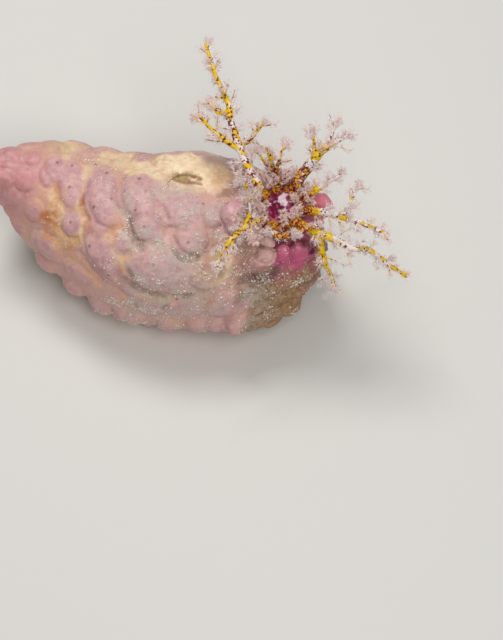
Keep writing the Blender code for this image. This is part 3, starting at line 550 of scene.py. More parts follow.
class CrownSettings(bpy.types.PropertyGroup):
    arms_apart: length("Arms apart", "Distance between side arms along a stem", 2.9)
    sprays_apart: length("Sprays apart", "Distance between long fine side branches", 2.2)
    hairs_apart: length("Hairs apart", "Distance between fine side twigs along a stem", 0.8)
    arm_radius: length("Arm radius", "Thickness of a side arm at its root", 0.40)
    twig_radius: length("Twig radius", "Thickness of a twig at its root", 0.16)
    twigs: IntProperty(name="Twigs", description="Twigs on each arm", default=7, min=1)
    twiglets: IntProperty(name="Twiglets", description="Twiglets on each twig", default=4, min=1)
    white: colour("White", "The stems' clear white", "#E9DDD6")
    yellow: colour("Yellow", "Patches on the stems", "#E6BC10")
    amber: colour("Amber", "Patches near the mouth", "#DE9E20")
    crimson: colour("Crimson", "Spots and streaks", "#6A0E26")
    twig_pink: colour("Twig pink", "Fine twigs", "#FFEBE8")
    tuft: colour("Tuft", "Dense tufts round the mouth", "#FEE1DC")
    throat: colour("Throat", "Skin round the mouth", "#780838")
    lip: colour("Lip", "Folds at the mouth's middle", "#F2DCE6")


class FootSettings(bpy.types.PropertyGroup):
    stalk: length("Stalk radius", "Radius of a tube foot's stalk", 0.62)
    disc: length("Disc radius", "Radius of a tube foot's sucker", 0.95)
    stalk_colour: colour("Stalk", "Tube feet", "#E4BDA6")
    disc_colour: colour("Disc", "Suckers", "#F1E2CC")
    lump_colour: colour("Lumps", "Darker lumps of the tube feet", "#D79E8E")


class GrainSettings(bpy.types.PropertyGroup):
    count: IntProperty(name="Grains", description="Grains of sand on the skin", default=3900, min=1)
    size: length("Grain radius", "Usual radius of a grain of sand", 0.12)
    pale: colour("Pale grain", "The brightest grains", "#FFF9EC")
    dull: colour("Dull grain", "The dullest grains", "#D3C3B4")


class StageSettings(bpy.types.PropertyGroup):
    floor: colour("Floor", "Plain pale floor", "#DEDBD5")
    key_power: FloatProperty(name="Key light", description="Power of the main soft light", default=1.9)
    fill_power: FloatProperty(name="Fill light", description="Power of the fill light", default=2.4)
    sky: FloatProperty(name="Sky", description="Strength of the even light all round", default=0.23)


class CucumberSettings(bpy.types.PropertyGroup):
    skin: PointerProperty(type=SkinSettings)
    crown: PointerProperty(type=CrownSettings)
    feet: PointerProperty(type=FootSettings)
    grains: PointerProperty(type=GrainSettings)
    stage: PointerProperty(type=StageSettings)


def unit(v):
    """A vector, or each of many, made 1 long."""
    return v / np.maximum(np.linalg.norm(v, axis=-1, keepdims=True), 1e-9)


def smooth(low, high, x):
    """Rises softly from 0 to 1 between low and high."""
    s = np.clip((x - low) / (high - low), 0, 1)
    return s * s * (3 - 2 * s)


def spline(rows, t):
    """A smooth curve through the rows, read at row number t."""
    rows = np.asarray(rows, float)
    i = int(min(max(math.floor(t), 0), len(rows) - 2))
    f = t - i
    p1, p2 = rows[i], rows[i + 1]
    p0 = rows[i - 1] if i > 0 else 2 * p1 - p2
    p3 = rows[i + 2] if i + 2 < len(rows) else 2 * p2 - p1
    return 0.5 * (
        2 * p1
        + (p2 - p0) * f
        + (2 * p0 - 5 * p1 + 4 * p2 - p3) * f * f
        + (3 * p1 - p0 - 3 * p2 + p3) * f**3
    )


def section(t):
    """Middle, the directions ahead, to the side and up, and the sizes at station t."""
    x, y, z, heading, pitch, *sizes = spline(STATIONS, t)
    h, p = math.radians(heading), math.radians(pitch)
    ahead = np.array([math.cos(p) * math.cos(h), math.cos(p) * math.sin(h), math.sin(p)])
    side = np.array([-math.sin(h), math.cos(h), 0.0])
    return np.array([x, y, z]), ahead, side, np.cross(ahead, side), sizes


def smooth_ring(t, angles):
    """Points of the wartless body at station t."""
    middle, _, side, up, (half_width, above, below) = section(t)
    c, s = np.cos(angles), np.sin(angles)
    half_height = np.where(s > 0, above, below)
    boxiness = np.where(s > 0, BOXINESS_ABOVE, BOXINESS_BELOW)
    reach = (np.abs(c) ** boxiness + np.abs(s) ** boxiness) ** (-1 / boxiness)
    return middle + np.outer(half_width * reach * c, side) + np.outer(half_height * reach * s, up)


def view_directions():
    """Towards the viewer, and the view's right and up."""
    height = math.radians(SEEN_FROM)
    towards = np.array([0.0, -math.cos(height), math.sin(height)])
    up = np.array([0.0, math.sin(height), math.cos(height)])
    return towards, np.array([1.0, 0.0, 0.0]), up


def stack_faces(rows, count):
    """Side faces of a stack of rings, then a fan on each end to the two points after them."""
    faces = []
    for i in range(rows - 1):
        for j in range(count):
            k = (j + 1) % count
            a, b = i * count, (i + 1) * count
            faces.append((a + j, a + k, b + k, b + j))
    first, last = rows * count, (rows - 1) * count
    for j in range(count):
        k = (j + 1) % count
        faces.append((first, k, j))
        faces.append((first + 1, last + j, last + k))
    return faces


def ring_stations():
    return np.linspace(0, RIM, RINGS_A_STATION * RIM + 1)


def body_rings():
    angles = np.arange(BODY_SIDES) * 2 * math.pi / BODY_SIDES
    return [smooth_ring(t, angles) for t in ring_stations()]


def wartless_body():
    """The body without its warts, to find the places that are seen on it."""
    rings = body_rings()
    ends = [rings[0].mean(axis=0), rings[-1].mean(axis=0)]
    points = np.vstack([*rings, *ends])
    return BVHTree.FromPolygons(points.tolist(), stack_faces(len(rings), BODY_SIDES))


def seen(body, right, up, turn=0.0):
    """The body's point seen there, and its directions along a turned axis and across it."""
    towards, view_right, view_up = view_directions()
    start = view_right * right + view_up * up + towards * 200
    hit, normal, _, _ = body.ray_cast(Vector(start), Vector(-towards))
    if hit is None:
        hit, normal, _, _ = body.find_nearest(Vector(start - towards * 190))
    normal = np.array(normal)
    normal *= math.copysign(1.0, normal @ towards)
    angle = math.radians(turn)
    axis = view_right * math.cos(angle) + view_up * math.sin(angle)
    axis = unit(axis - towards * (axis @ normal) / max(normal @ towards, 0.3))
    return np.array(hit), axis, unit(np.cross(normal, axis))


def placed(t, degrees):
    """A point of the wartless body, with unit vectors along the body and round it."""
    angle = math.radians(degrees)
    points = smooth_ring(t, np.array([angle, angle + 0.02]))
    later = smooth_ring(t + 0.02, np.array([angle]))
    around = unit(points[1] - points[0])
    along = later[0] - points[0]
    return points[0], unit(along - around * (along @ around)), around


def hidden_warts():
    """Rows of warts on the sides that face away, small ones between them, and the tail's."""
    draw = random.Random(7)
    warts = []
    for degrees, size, height in HIDDEN_ROWS:
        t = HIDDEN_ROW_FIRST + draw.uniform(0, HIDDEN_ROW_STEP / 2)
        while t < HIDDEN_ROW_LAST:
            half_length, half_width = (size * draw.uniform(0.8, 1.1) for _ in range(2))
            place = placed(t, degrees + draw.uniform(-5, 5))
            warts.append((*place, half_length, half_width, height))
            t += HIDDEN_ROW_STEP * draw.uniform(0.9, 1.15)
    for _ in range(SMALL_WARTS):
        place = placed(draw.uniform(*SMALL_WART_STATIONS), draw.uniform(*SMALL_WART_DEGREES))
        warts.append((*place, *(draw.uniform(*limits) for limits in SMALL_WART_SIZES)))
    for n, t in enumerate(TAIL_RINGS):
        for k in range(TAIL_WARTS_ROUND):
            degrees = (k + 0.5 * (n % 2)) * 360 / TAIL_WARTS_ROUND
            warts.append((*placed(t, degrees), *TAIL_WART))
    return warts


def noise(points, size, seed=0):
    """Smooth random values from -1 to 1, in lumps of the given size."""
    p = points / size + 71.3 * (seed + 1)
    cell = np.floor(p).astype(np.int64)
    f = p - cell
    f = f * f * (3 - 2 * f)
    total = np.zeros(len(points))
    for corner in range(8):
        step = np.array([corner >> 2 & 1, corner >> 1 & 1, corner & 1])
        c = cell + step
        # Each corner's whole numbers are mixed into one that seems random.
        mixed = c[:, 0] * 374761393 + c[:, 1] * 668265263 + c[:, 2] * 2147483647 + seed * 1442695041
        mixed = (mixed ^ (mixed >> 13)) * 1274126177 & 0xFFFFFFFF
        mixed = (mixed ^ (mixed >> 16)) & 0xFFFF
        share = np.prod(np.where(step, f, 1 - f), axis=1)
        total += share * (mixed / 32767.5 - 1)
    return total


def corner_rows(faces):
    """Faces as rows of four corners, the last of them -1 in a triangle."""
    return np.array([(*f, -1)[:4] for f in faces])


def shifted(corners, by):
    """The same faces on points that lie further on in a list."""
    return np.where(corners < 0, -1, corners + by)


def copies(corners, many, stride):
    """The same rows of corners for many copies of a mesh, each with that many points."""
    return shifted(corners[None], np.arange(many)[:, None, None] * stride).reshape(-1, 4)


def packed_metres(points):
    """The animal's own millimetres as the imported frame's metres, one after the other."""
    return ((points + ORIGIN) * MM).astype(np.float32).ravel()


def mesh_of_many(name, parts, material):
    """One mesh object from several (points, rows of corners)."""
    points, corners = [], []
    first = 0
    for part_points, part_corners in parts:
        corners.append(shifted(part_corners, first))
        points.append(part_points)
        first += len(part_points)
    points, corners = np.vstack(points), np.vstack(corners)
    sizes = np.where(corners[:, 3] < 0, 3, 4)
    loops = corners[corners >= 0]
    mesh = bpy.data.meshes.new(name)
    mesh.vertices.add(len(points))
    mesh.vertices.foreach_set("co", packed_metres(points))
    mesh.loops.add(len(loops))
    mesh.loops.foreach_set("vertex_index", loops.astype(np.int32))
    mesh.polygons.add(len(corners))
    mesh.polygons.foreach_set("loop_start", np.concatenate([[0], np.cumsum(sizes)[:-1]]).astype(np.int32))
    mesh.update(calc_edges=True)
    mesh.validate()
    mesh.shade_smooth()
    mesh.materials.append(material)
    made = bpy.data.objects.new(name, mesh)
    bpy.context.scene.collection.objects.link(made)
    return made


def own_points(made):
    """A mesh's points in the animal's own millimetres."""
    return point_values(made, "co") / MM - ORIGIN


def point_values(made, what):
    """The place or the normal of each of a mesh's points."""
    flat = np.empty(len(made.data.vertices) * 3, np.float32)
    made.data.vertices.foreach_get(what, flat)
    return flat.reshape(-1, 3).astype(float)


def move_points(made, points):
    made.data.vertices.foreach_set("co", packed_metres(points))
    made.data.update()


def give(made, name, values):
    """Stores one number a point for the material to read."""
    layer = made.data.attributes.new(name, "FLOAT", "POINT")
    layer.data.foreach_set("value", np.asarray(values, np.float32))


def melt(made, voxel, rounds):
    """Melts overlapping closed pieces into one skin by a fine remesh and some smoothing."""
    finish = made.data.materials[0]
    remesh = made.modifiers.new("melt", "REMESH")
    remesh.mode, remesh.voxel_size, remesh.use_smooth_shade = "VOXEL", voxel, True
    soften = made.modifiers.new("soften", "SMOOTH")
    soften.factor, soften.iterations = 0.5, rounds
    graph = bpy.context.evaluated_depsgraph_get()
    mesh = bpy.data.meshes.new_from_object(made.evaluated_get(graph))
    made.modifiers.clear()
    made.data = mesh
    mesh.shade_smooth()
    mesh.materials.clear()
    mesh.materials.append(finish)


def finished_skin(user):
    """The skin's object, which has to be there before the pieces that use it."""
    body = bpy.data.objects.get("skin")
    if body is None:
        raise RuntimeError(f"make the skin before the {user}")
    return body


def surface(body):
    """The skin as something that can be touched with a ray."""
    return BVHTree.FromPolygons(own_points(body).tolist(), [tuple(p.vertices) for p in body.data.polygons])


def ball(rounds):
    """Points and rows of corners of a ball of triangles with radius 1."""
    shape = bmesh.new()
    bmesh.ops.create_icosphere(shape, subdivisions=rounds, radius=1.0)
    points = np.array([v.co for v in shape.verts])
    corners = corner_rows([v.index for v in f.verts] for f in shape.faces)
    shape.free()
    return points, corners


def egg(middle, axes, halves):
    """Points and rows of corners of an egg-shaped closed mesh."""
    points, corners = ball(4)
    return middle + sum(np.outer(points[:, i] * halves[i], axes[i]) for i in range(3)), corners


def rim_frame():
    """Middle of the rim, the mouth's axis, and two directions across it, right and far."""
    middle, axis, _, _, _ = section(RIM)
    right = unit(np.array([1.0, 0.0, 0.0]) - axis * axis[0])
    return middle, axis, right, np.cross(axis, right)


def round_mouth(degrees):
    _, _, right, far = rim_frame()
    angle = math.radians(degrees)
    return right * math.cos(angle) + far * math.sin(angle)


def lobe_frame(lobe):
    """A lobe's middle, and its directions across, round and up."""
    middle, axis, _, _ = rim_frame()
    out = round_mouth(lobe[0])
    return middle + out * lobe[1] + axis * lobe[2], (out, np.cross(axis, out), axis)


def skin_shape():
    """The body from tail to rim with the collar's lobes, as overlapping closed pieces."""
    rings = body_rings()
    tail_end = rings[0].mean(axis=0) + section(0)[1] * TAIL_DENT
    rim_end = rings[-1].mean(axis=0) - section(RIM)[1] * RIM_DENT
    corners = corner_rows(stack_faces(len(rings), BODY_SIDES))
    parts = [(np.vstack([*rings, tail_end, rim_end]), corners)]
    return parts + [egg(*lobe_frame(lobe), lobe[LOBE_SIZES]) for lobe in LOBES]


def stations_of(points):
    """Station number and degrees round the body of the nearest place on the wartless body."""
    rings = body_rings()
    tree = KDTree(len(rings) * BODY_SIDES)
    for i, ring in enumerate(rings):
        for j, p in enumerate(ring):
            tree.insert(p, i * BODY_SIDES + j)
    tree.balance()
    found = np.array([tree.find(p)[1] for p in points])
    return ring_stations()[found // BODY_SIDES], found % BODY_SIDES * 360 / BODY_SIDES


def relief(points, warts, peaks):
    """How far warts raise the skin, how much of a wart each point is, its distance from the
    nearest wart's middle, and how near a crease it is. Warts sag down and towards the tail:
    there they end steeply over a crease, and on the other side they fade out."""
    raised, wart, crease = (np.zeros(len(points)) for _ in range(3))
    nearest = np.full(len(points), FAR_FROM_WARTS)
    uneven = 1 + 0.10 * noise(points, 4.2, 1) + 0.07 * noise(points, 1.7, 2)
    for n, (at, along, around, half_length, half_width, height) in enumerate(warts):
        reach = WART_REACH * max(half_length, half_width)
        close = np.flatnonzero(np.linalg.norm(points - at, axis=1) < reach)
        d = points[close] - at
        q = np.hypot(d @ along / half_length, d @ around / half_width) * uneven[close]
        from_middle = at[1] - np.interp(at[0], STATIONS[:, 0], STATIONS[:, 1])
        own_side = math.copysign(SAG_SIDE, from_middle - SIDES_LINE)
        sag = d @ np.array([-SAG_BACK, own_side, -SAG_DOWN]) / (np.linalg.norm(d, axis=1) + 0.5)
        steep = smooth(-0.6, 0.9, sag)
        edge = WART_EDGE - STEEP_EDGE * steep
        dome = np.clip(1 - (q / edge) ** (DOME_POWER + STEEP_POWER * steep), 0, 1)
        raised[close] += (height * dome ** (PEAK_POWER if n in peaks else 1.0)) ** UNION
        width = np.where(q > edge, CREASE_OUTSIDE, CREASE_INSIDE)
        rim = steep**1.6 * np.exp(-(((q - edge) / width) ** 2))
        crease[close] = np.maximum(crease[close], rim)
        nearest[close] = np.minimum(nearest[close], q)
        if n not in CREAM_WARTS:
            wart[close] = np.maximum(wart[close], smooth(1.20 - 0.06 * steep, 0.64 + 0.30 * steep, q))
    return raised ** (1 / UNION), wart, nearest, crease


def view_patch(points, facing, right, up, half_right, half_up, turn=0.0):
    """1 inside an oval patch of the near view, fading to 0 at its edge."""
    towards, view_right, view_up = view_directions()
    x, y = points @ view_right - right, points @ view_up - up
    angle = math.radians(turn)
    u = x * math.cos(angle) + y * math.sin(angle)
    v = y * math.cos(angle) - x * math.sin(angle)
    q = np.hypot(u / half_right, v / half_up)
    return smooth(1.45, 0.1, q) * smooth(-0.1, 0.25, facing @ towards)


def view_line(points, facing, path, width):
    """1 on a line through places of the near view, fading to 0 beside it."""
    towards, right, up = view_directions()
    flat = np.column_stack([points @ right, points @ up])
    gap = np.full(len(points), 99.0)
    for start, end in zip(path, path[1:]):
        step = np.subtract(end, start)
        share = np.clip((flat - start) @ step / (step @ step), 0, 1)
        gap = np.minimum(gap, np.linalg.norm(flat - start - share[:, None] * step, axis=1))
    return np.exp(-((gap / width) ** 2)) * smooth(-0.1, 0.25, facing @ towards)


# Patches of the near side, each as seen: right, up, half sizes and sometimes a turn.
PATCHES = {
    "warm": [
        (-31.8, 16.0, 3.6, 4.4), (-31.8, 15.4, 3.6, 4.0), (-27.0, 8.9, 4.6, 3.0),
        (-29.4, 21.6, 1.8, 5.0), (-22.3, 18.9, 2.2, 4.6), (-12.0, 11.6, 5.0, 3.0),
        (-21.0, 13.4, 2.0, 5.0), (-10.8, 2.6, 3.0, 5.0), (9.6, 1.0, 4.0, 3.0),
        (-15.0, 9.6, 3.0, 2.0), (-30.8, 12.0, 4.0, 3.4), (12.9, 25.3, 1.8, 1.4),
        (11.5, -6.5, 4.5, 4.0),
    ],
    "rust": [
        (-31.9, 15.4, 3.2, 2.8), (-22.2, 18.6, 1.6, 3.2), (-10.6, 12.2, 1.8, 1.8),
        (-0.5, 35.2, 3.8, 1.0),
    ],
    "cream": [
        (-31.0, 35.0, 14.0, 4.4), (5.0, 31.0, 14.0, 7.6), (12.0, 25.4, 9.0, 4.6),
        (-13.0, 31.4, 10.0, 3.2), (-22.0, 20.0, 2.8, 13.0), (-30.0, 17.0, 2.4, 8.0),
        (-11.8, 4.0, 3.0, 5.0), (-27.0, 10.0, 9.0, 3.0), (13.6, 2.6, 3.4, 4.6),
        (9.0, 0.6, 6.2, 3.6, -48), (0.0, -6.0, 11.0, 2.2), (-9.0, 28.0, 3.0, 4.0),
        (-13.0, 11.0, 3.4, 2.6),
    ],
    "pale": [(2.6, 29.2, 12.0, 4.8), (8.0, 24.4, 10.0, 2.8)],
    # Where the ground between warts is as pink as the warts.
    "pink": [
        (-22.0, -4.0, 18.0, 3.2, -38), (2.0, 14.0, 13.0, 8.0), (15.0, 15.0, 5.5, 8.0),
        (10.0, -8.0, 14.0, 6.0), (-6.0, 15.0, 7.0, 9.0), (-34.0, 9.0, 4.0, 8.0),
        (20.0, 20.0, 6.0, 6.0), (-6.0, -9.0, 12.0, 4.0), (11.0, 32.0, 7.0, 2.6, -12),
    ],
    # Where dust lies.
    "silt": [
        (0.0, 3.0, 15.0, 12.0), (8.0, 13.0, 12.0, 8.0), (-9.6, 10.0, 3.0, 11.0, 15),
        (6.0, -7.0, 13.0, 7.0), (-8.0, -9.0, 12.0, 5.0), (-12.0, 18.0, 3.4, 6.0),
        (0.0, 22.0, 9.0, 3.0), (22.0, -8.0, 5.0, 6.0),
    ],
    # Where grains sparkle without the film of dust.
    "sparkle": [
        (30.0, -0.4, 9.0, 4.4, 14), (22.0, -3.6, 7.0, 4.0, 24), (29.0, -9.8, 6.0, 1.6, 10),
        (15.0, 4.0, 8.0, 12.0),
    ],
    # Where the magenta of the collar fades into the neck.
    "blush": [(34.0, 2.0, 8.0, 4.4, 8), (36.6, -4.8, 2.6, 3.0, 20), (27.6, 3.0, 5.0, 3.0)],
    # Where dust lies thick in the creases, darkened with painted shade as well.
    "mud_and_shade": [
        (-8.4, 12.0, 3.6, 5.6, 20), (2.2, 6.6, 4.0, 3.0, -30), (-9.6, -1.0, 3.6, 4.0, -40),
        (-2.4, 9.8, 3.0, 2.2), (12.0, 17.6, 3.0, 4.0), (21.0, -2.0, 7.0, 3.0, 20),
        (-2.0, -4.6, 9.0, 2.0), (0.0, -7.0, 9.0, 2.6), (5.0, 6.0, 4.0, 2.4), (-7.6, 8.6, 2.6, 4.0),
    ],
    # Dents darkened with painted shade, and the hump's far end.
    "shaded_valley": [
        (18.0, 3.0, 2.0, 5.0, -18), (22.4, -3.0, 5.0, 1.9, 24), (16.0, -3.4, 2.2, 4.0, -20),
        (18.4, 24.2, 2.8, 2.6), (15.0, 21.8, 3.2, 1.6), (20.8, 6.6, 3.6, 4.6),
        (19.0, 0.4, 3.2, 3.4), (18.8, -5.4, 3.0, 3.4), (13.8, 2.2, 1.8, 3.2),
        (16.4, -2.8, 3.0, 2.2),
    ],
    # The first patch darkens the hump's top edge with painted shade.
    "mauve": [(4.6, 33.4, 8.0, 2.4, -10), (11.6, 30.8, 4.5, 3.0, -20)],
    # The collar's bright inner edge, and the dark folds beside it, partly painted shadow under the tentacles.
    "magenta": [(33.6, 5.6, 6.4, 3.6, -4), (31.4, 7.2, 3.6, 3.0), (31.6, 26.6, 3.0, 3.0)],
    "fold": [
        (23.6, -0.6, 8.6, 2.2, 20), (21.0, -3.6, 4.8, 2.0, 32), (34.0, 8.6, 5.8, 1.2, -4),
        (25.6, -0.4, 4.6, 1.2, 24), (32.3, 7.6, 0.7, 1.3), (30.4, 7.0, 1.3, 1.6),
        (38.0, 7.2, 1.0, 1.5),
    ],
}
# Patches where warts lose their pink (the first and fourth are darkened with tan as well, partly
# painted shade along the top edge), where the tail is pale, and where the neck's tan gives way to pink.
BARE_PATCHES = [
    (-20.0, 36.4, 17.0, 4.4), (-2.0, 36.0, 14.0, 4.0), (12.0, 33.6, 8.0, 3.0),
    (-31.0, 34.6, 6.0, 3.4), (9.0, 0.6, 5.8, 3.2, -48),
]
TAN_BARE_PATCHES = BARE_PATCHES[::3]
TAIL_PALE = [(-38.5, 34.4, 5.0, 2.8)]
NECK_PINK = [(34.6, -4.4, 3.4, 2.6, 40), (20.6, 5.0, 3.6, 5.0), (15.6, -8.0, 6.0, 5.0), (24.6, 4.6, 3.0, 4.0)]
# How uneven the edges of patches are, and what is stored on the skin for its material.
RAGGEDNESS = 0.55
STORED_ON_SKIN = (
    "wart", "nearest", "crease", "pore", "slit", "slit_edge", "streak", "warm", "rust", "cream",
    "pale", "pink", "silt", "mud_and_shade", "shaded_valley", "mauve", "petal", "knob", "coral", "tail", "under",
    "fold", "magenta", "throat", "sparkle", "blush",
)
# The station from which the neck's folds start, and their slant in degrees.
NECK_FIRST, NECK_SLANT = 7.7, 27


def neck_folds(points, t, degrees):
    """Folds that cross the front of the neck aslant: where the front is, and their height."""
    front = smooth(NECK_FIRST, NECK_FIRST + 1.0, t)
    front = front * smooth(*NECK_NEAR, degrees) * smooth(*NECK_FAR, degrees)
    _, right, up = view_directions()
    slant = math.radians(NECK_SLANT)
    climb = points @ up * math.cos(slant) - points @ right * math.sin(slant) + 0.9 * noise(points, 5.0, 4)
    wave = 0.7 * np.sin(climb * 1.9) + 0.35 * np.sin(climb * 4.7 + 1.3 * noise(points, 3.0, 3))
    return front, wave


def tail_folds(points, t, degrees):
    """Soft folds that run into the tail's opening."""
    wander = degrees + 14 * noise(points, 3.0, 31)
    wave = np.sin(np.radians(wander * 8)) + 0.5 * np.sin(np.radians(wander * 17))
    return wave * smooth(2.2, 0.6, t)


def dress_skin(made):
    """Raises warts, folds and grain on the melted skin, and stores what the material reads."""
    # Warts, gullies, the slit and the folds.
    settings = bpy.context.scene.sea_cucumber.skin
    body = wartless_body()
    warts = [(*seen(body, *w[:3]), *w[3:]) for w in SEEN_WARTS + SEEN_PEAKS] + hidden_warts()
    peaks = range(len(SEEN_WARTS), len(SEEN_WARTS) + len(SEEN_PEAKS))
    points, facing = own_points(made), point_values(made, "normal")
    t, degrees = stations_of(points)
    stored = {}
    raised, stored["wart"], stored["nearest"], stored["crease"] = relief(points, warts, peaks)
    width = GULLY_WIDTH * (1 + 0.5 * noise(points, 2.4, 33))
    gully = np.max([view_line(points, facing, path, width) for path in GULLIES], axis=0)
    gully *= 0.85 + 0.3 * noise(points, 3.0, 34)
    # Gullies join the creases, so they are painted darker as shade too.
    stored["crease"] = np.maximum(stored["crease"], gully)
    raised -= GULLY_DEPTH * gully
    stored["slit"] = view_patch(points, facing, *SEEN_SLIT)
    # The slit's edge is cut deepest, and painted dark as its shadow.
    edge_width = SLIT_EDGE_WIDTH * (1 + 0.5 * noise(points, 1.1, 7))
    stored["slit_edge"] = view_line(points, facing, SLIT_EDGE, edge_width)
    stored["streak"] = view_line(points, facing, SLIT_STREAK, SLIT_STREAK_WIDTH)
    front, wave = neck_folds(points, t, degrees)
    belly = smooth(*BELLY_NEAR, degrees) * smooth(*BELLY_FAR, degrees) * smooth(*BELLY_STATIONS, t)

    def near(patches):
        """1 inside any of the patches, as a value for each point."""
        return np.max([view_patch(points, facing, *patch) for patch in patches], axis=0)

    # Patches with ragged edges, but soft ones where they are warm. A little dust lies on top.
    for n, (name, patches) in enumerate(PATCHES.items()):
        soft = near(patches)
        uneven = RAGGEDNESS * (noise(points, 3.4, 50 + n) + 0.6 * noise(points, 1.3, 60 + n))
        stored[name] = np.clip(soft * (1 + 1.2 * uneven) + 0.5 * uneven * smooth(0.0, 0.6, soft), 0, 1)
    for name in ("warm", "rust"):
        stored[name] = near(PATCHES[name])
    lit_back = 0.25 * smooth(0.2, 0.9, facing[:, 2]) * smooth(3.0, 4.5, t)
    stored["silt"] = np.maximum(stored["silt"], lit_back * (1 - stored["cream"]))
    silt = stored["silt"]

    # The skin's relief, which the rim flattens.
    grain = settings.grain / MM
    fine_lumps = 0.07 * noise(points, grain, 5) + 0.04 * noise(points, grain / 2, 6)
    raised += fine_lumps * (1.2 - 0.7 * stored["wart"])
    raised += 0.28 * noise(points, 4.0, 8) + 0.12 * noise(points, 2.2, 9) * (t > 2)
    raised -= settings.crease_depth / MM * stored["crease"] * (1 - front)
    raised += NECK_FOLD_HEIGHT * wave * front + TAIL_FOLD_HEIGHT * tail_folds(points, t, degrees)
    raised -= SLIT_DEPTH * np.maximum(0.6 * stored["slit"], stored["slit_edge"])
    raised += silt * (0.12 * noise(points, 1.5, 41) + 0.07 * noise(points, 0.7, 42))
    middle, axis, _, _ = rim_frame()
    from_axis = points - middle
    height = from_axis @ axis
    distance = np.linalg.norm(from_axis - np.outer(height, axis), axis=1)
    on_rim = smooth(*RIM_HEIGHTS, height) * smooth(*RIM_DISTANCES, distance)
    raised *= 1 - RIM_CALM * on_rim
    # The collar's lobes and the gaps between them.
    for name in ("petal", "knob", "coral"):
        stored[name] = np.zeros(len(points))
    reaches = []
    for lobe in LOBES:
        at, axes = lobe_frame(lobe)
        d = points - at
        reaches.append(np.sqrt(sum((d @ a / half) ** 2 for a, half in zip(axes, lobe[LOBE_SIZES]))))
        edge = smooth(1.35, 1.05, reaches[-1] + 0.12 * noise(points, 1.5, 71))
        stored[lobe[-1]] = np.maximum(stored[lobe[-1]], edge)
    first, second = np.sort(reaches, axis=0)[:2]
    gap = smooth(0.40, 0.0, second - first) * smooth(1.6, 1.2, second)
    on_lobe = np.max([stored[name] for name in ("petal", "knob", "coral")], axis=0)
    lobe_lumps = 0.16 * noise(points, 1.3, 72) + 0.10 * noise(points, 0.6, 73)
    raised += on_lobe * lobe_lumps - LOBE_GAP_DEPTH * gap
    # The gaps between the lobes also get painted shade.
    stored["shaded_valley"] = np.maximum(stored["shaded_valley"], gap)
    moved = points + facing * (raised * settings.wart_relief)[:, None]
    moved[:, 2] = np.maximum(moved[:, 2], SOLE_HEIGHT)
    move_points(made, moved)

    # What is left for the material to read.
    stored["pore"] = np.zeros(len(points))
    for right, up in SEEN_PORES:
        d = np.linalg.norm(points - seen(body, right, up)[0], axis=1)
        stored["pore"] = np.maximum(stored["pore"], np.exp(-((d / PORE_RADIUS) ** 2) / 2))
    opening = np.linalg.norm(points - (section(0)[0] - section(0)[1] * OPENING_BEHIND), axis=1)
    away = smooth(0.25, -0.1, facing @ view_directions()[0])
    stored["wart"] *= 1 - 0.85 * near(BARE_PATCHES)
    stored["cream"] = np.maximum(stored["cream"], 0.5 * away * smooth(-0.4, 0.5, noise(points, 9.0, 35)))
    stored["wart"] *= 1 - 0.35 * away * smooth(-0.3, 0.5, noise(points, 6.0, 36))
    stored["silt"] = silt * (0.55 + 0.45 * stored["mud_and_shade"])
    stored["sparkle"] = np.maximum(0.55 * stored["silt"], 0.62 * stored["sparkle"]) * (1 - 0.9 * on_lobe)
    # Thicker dust in the creases, also painted shade there.
    thick_dust_and_shade = stored["mud_and_shade"] * smooth(0.0, 0.6, stored["crease"])
    stored["mud_and_shade"] = silt * np.maximum(thick_dust_and_shade, 0.3 * stored["crease"])
    stored["tail"] = smooth(3.1, 2.1, t + 0.3 * noise(points, 5.0, 9)) * (1 - 0.6 * near(TAIL_PALE))
    # Tan along the top edge as well, partly painted shade.
    tan = np.maximum(belly, 0.3 * near(TAN_BARE_PATCHES))
    stored["under"] = np.maximum(front * (1 - 0.8 * near(NECK_PINK)), tan)
    # Painted shade in the troughs of the neck's folds.
    neck_shade = smooth(0.1, -1.0, wave) * front * 0.45 * (1 - stored["magenta"])
    stored["fold"] = np.maximum(neck_shade, stored["fold"])
    inner = on_rim * smooth(*INNER_RIM_DISTANCES, distance) * smooth(*INNER_RIM_X, points[:, 0])
    stored["magenta"] = np.maximum(inner, stored["magenta"])
    red = smooth(0.1, 0.7, stored["magenta"])
    # Painted shade in the gaps between red lobes.
    stored["fold"] = np.maximum(stored["fold"], 0.25 * gap * red)
    stored["shaded_valley"] *= 1 - red
    throat = smooth(*THROAT_HEIGHTS, height) * smooth(*THROAT_DISTANCES, distance)
    stored["throat"] = np.maximum(throat, 0.8 * smooth(*OPENING_DISTANCES, opening))
    for name in STORED_ON_SKIN:
        give(made, name, stored[name])


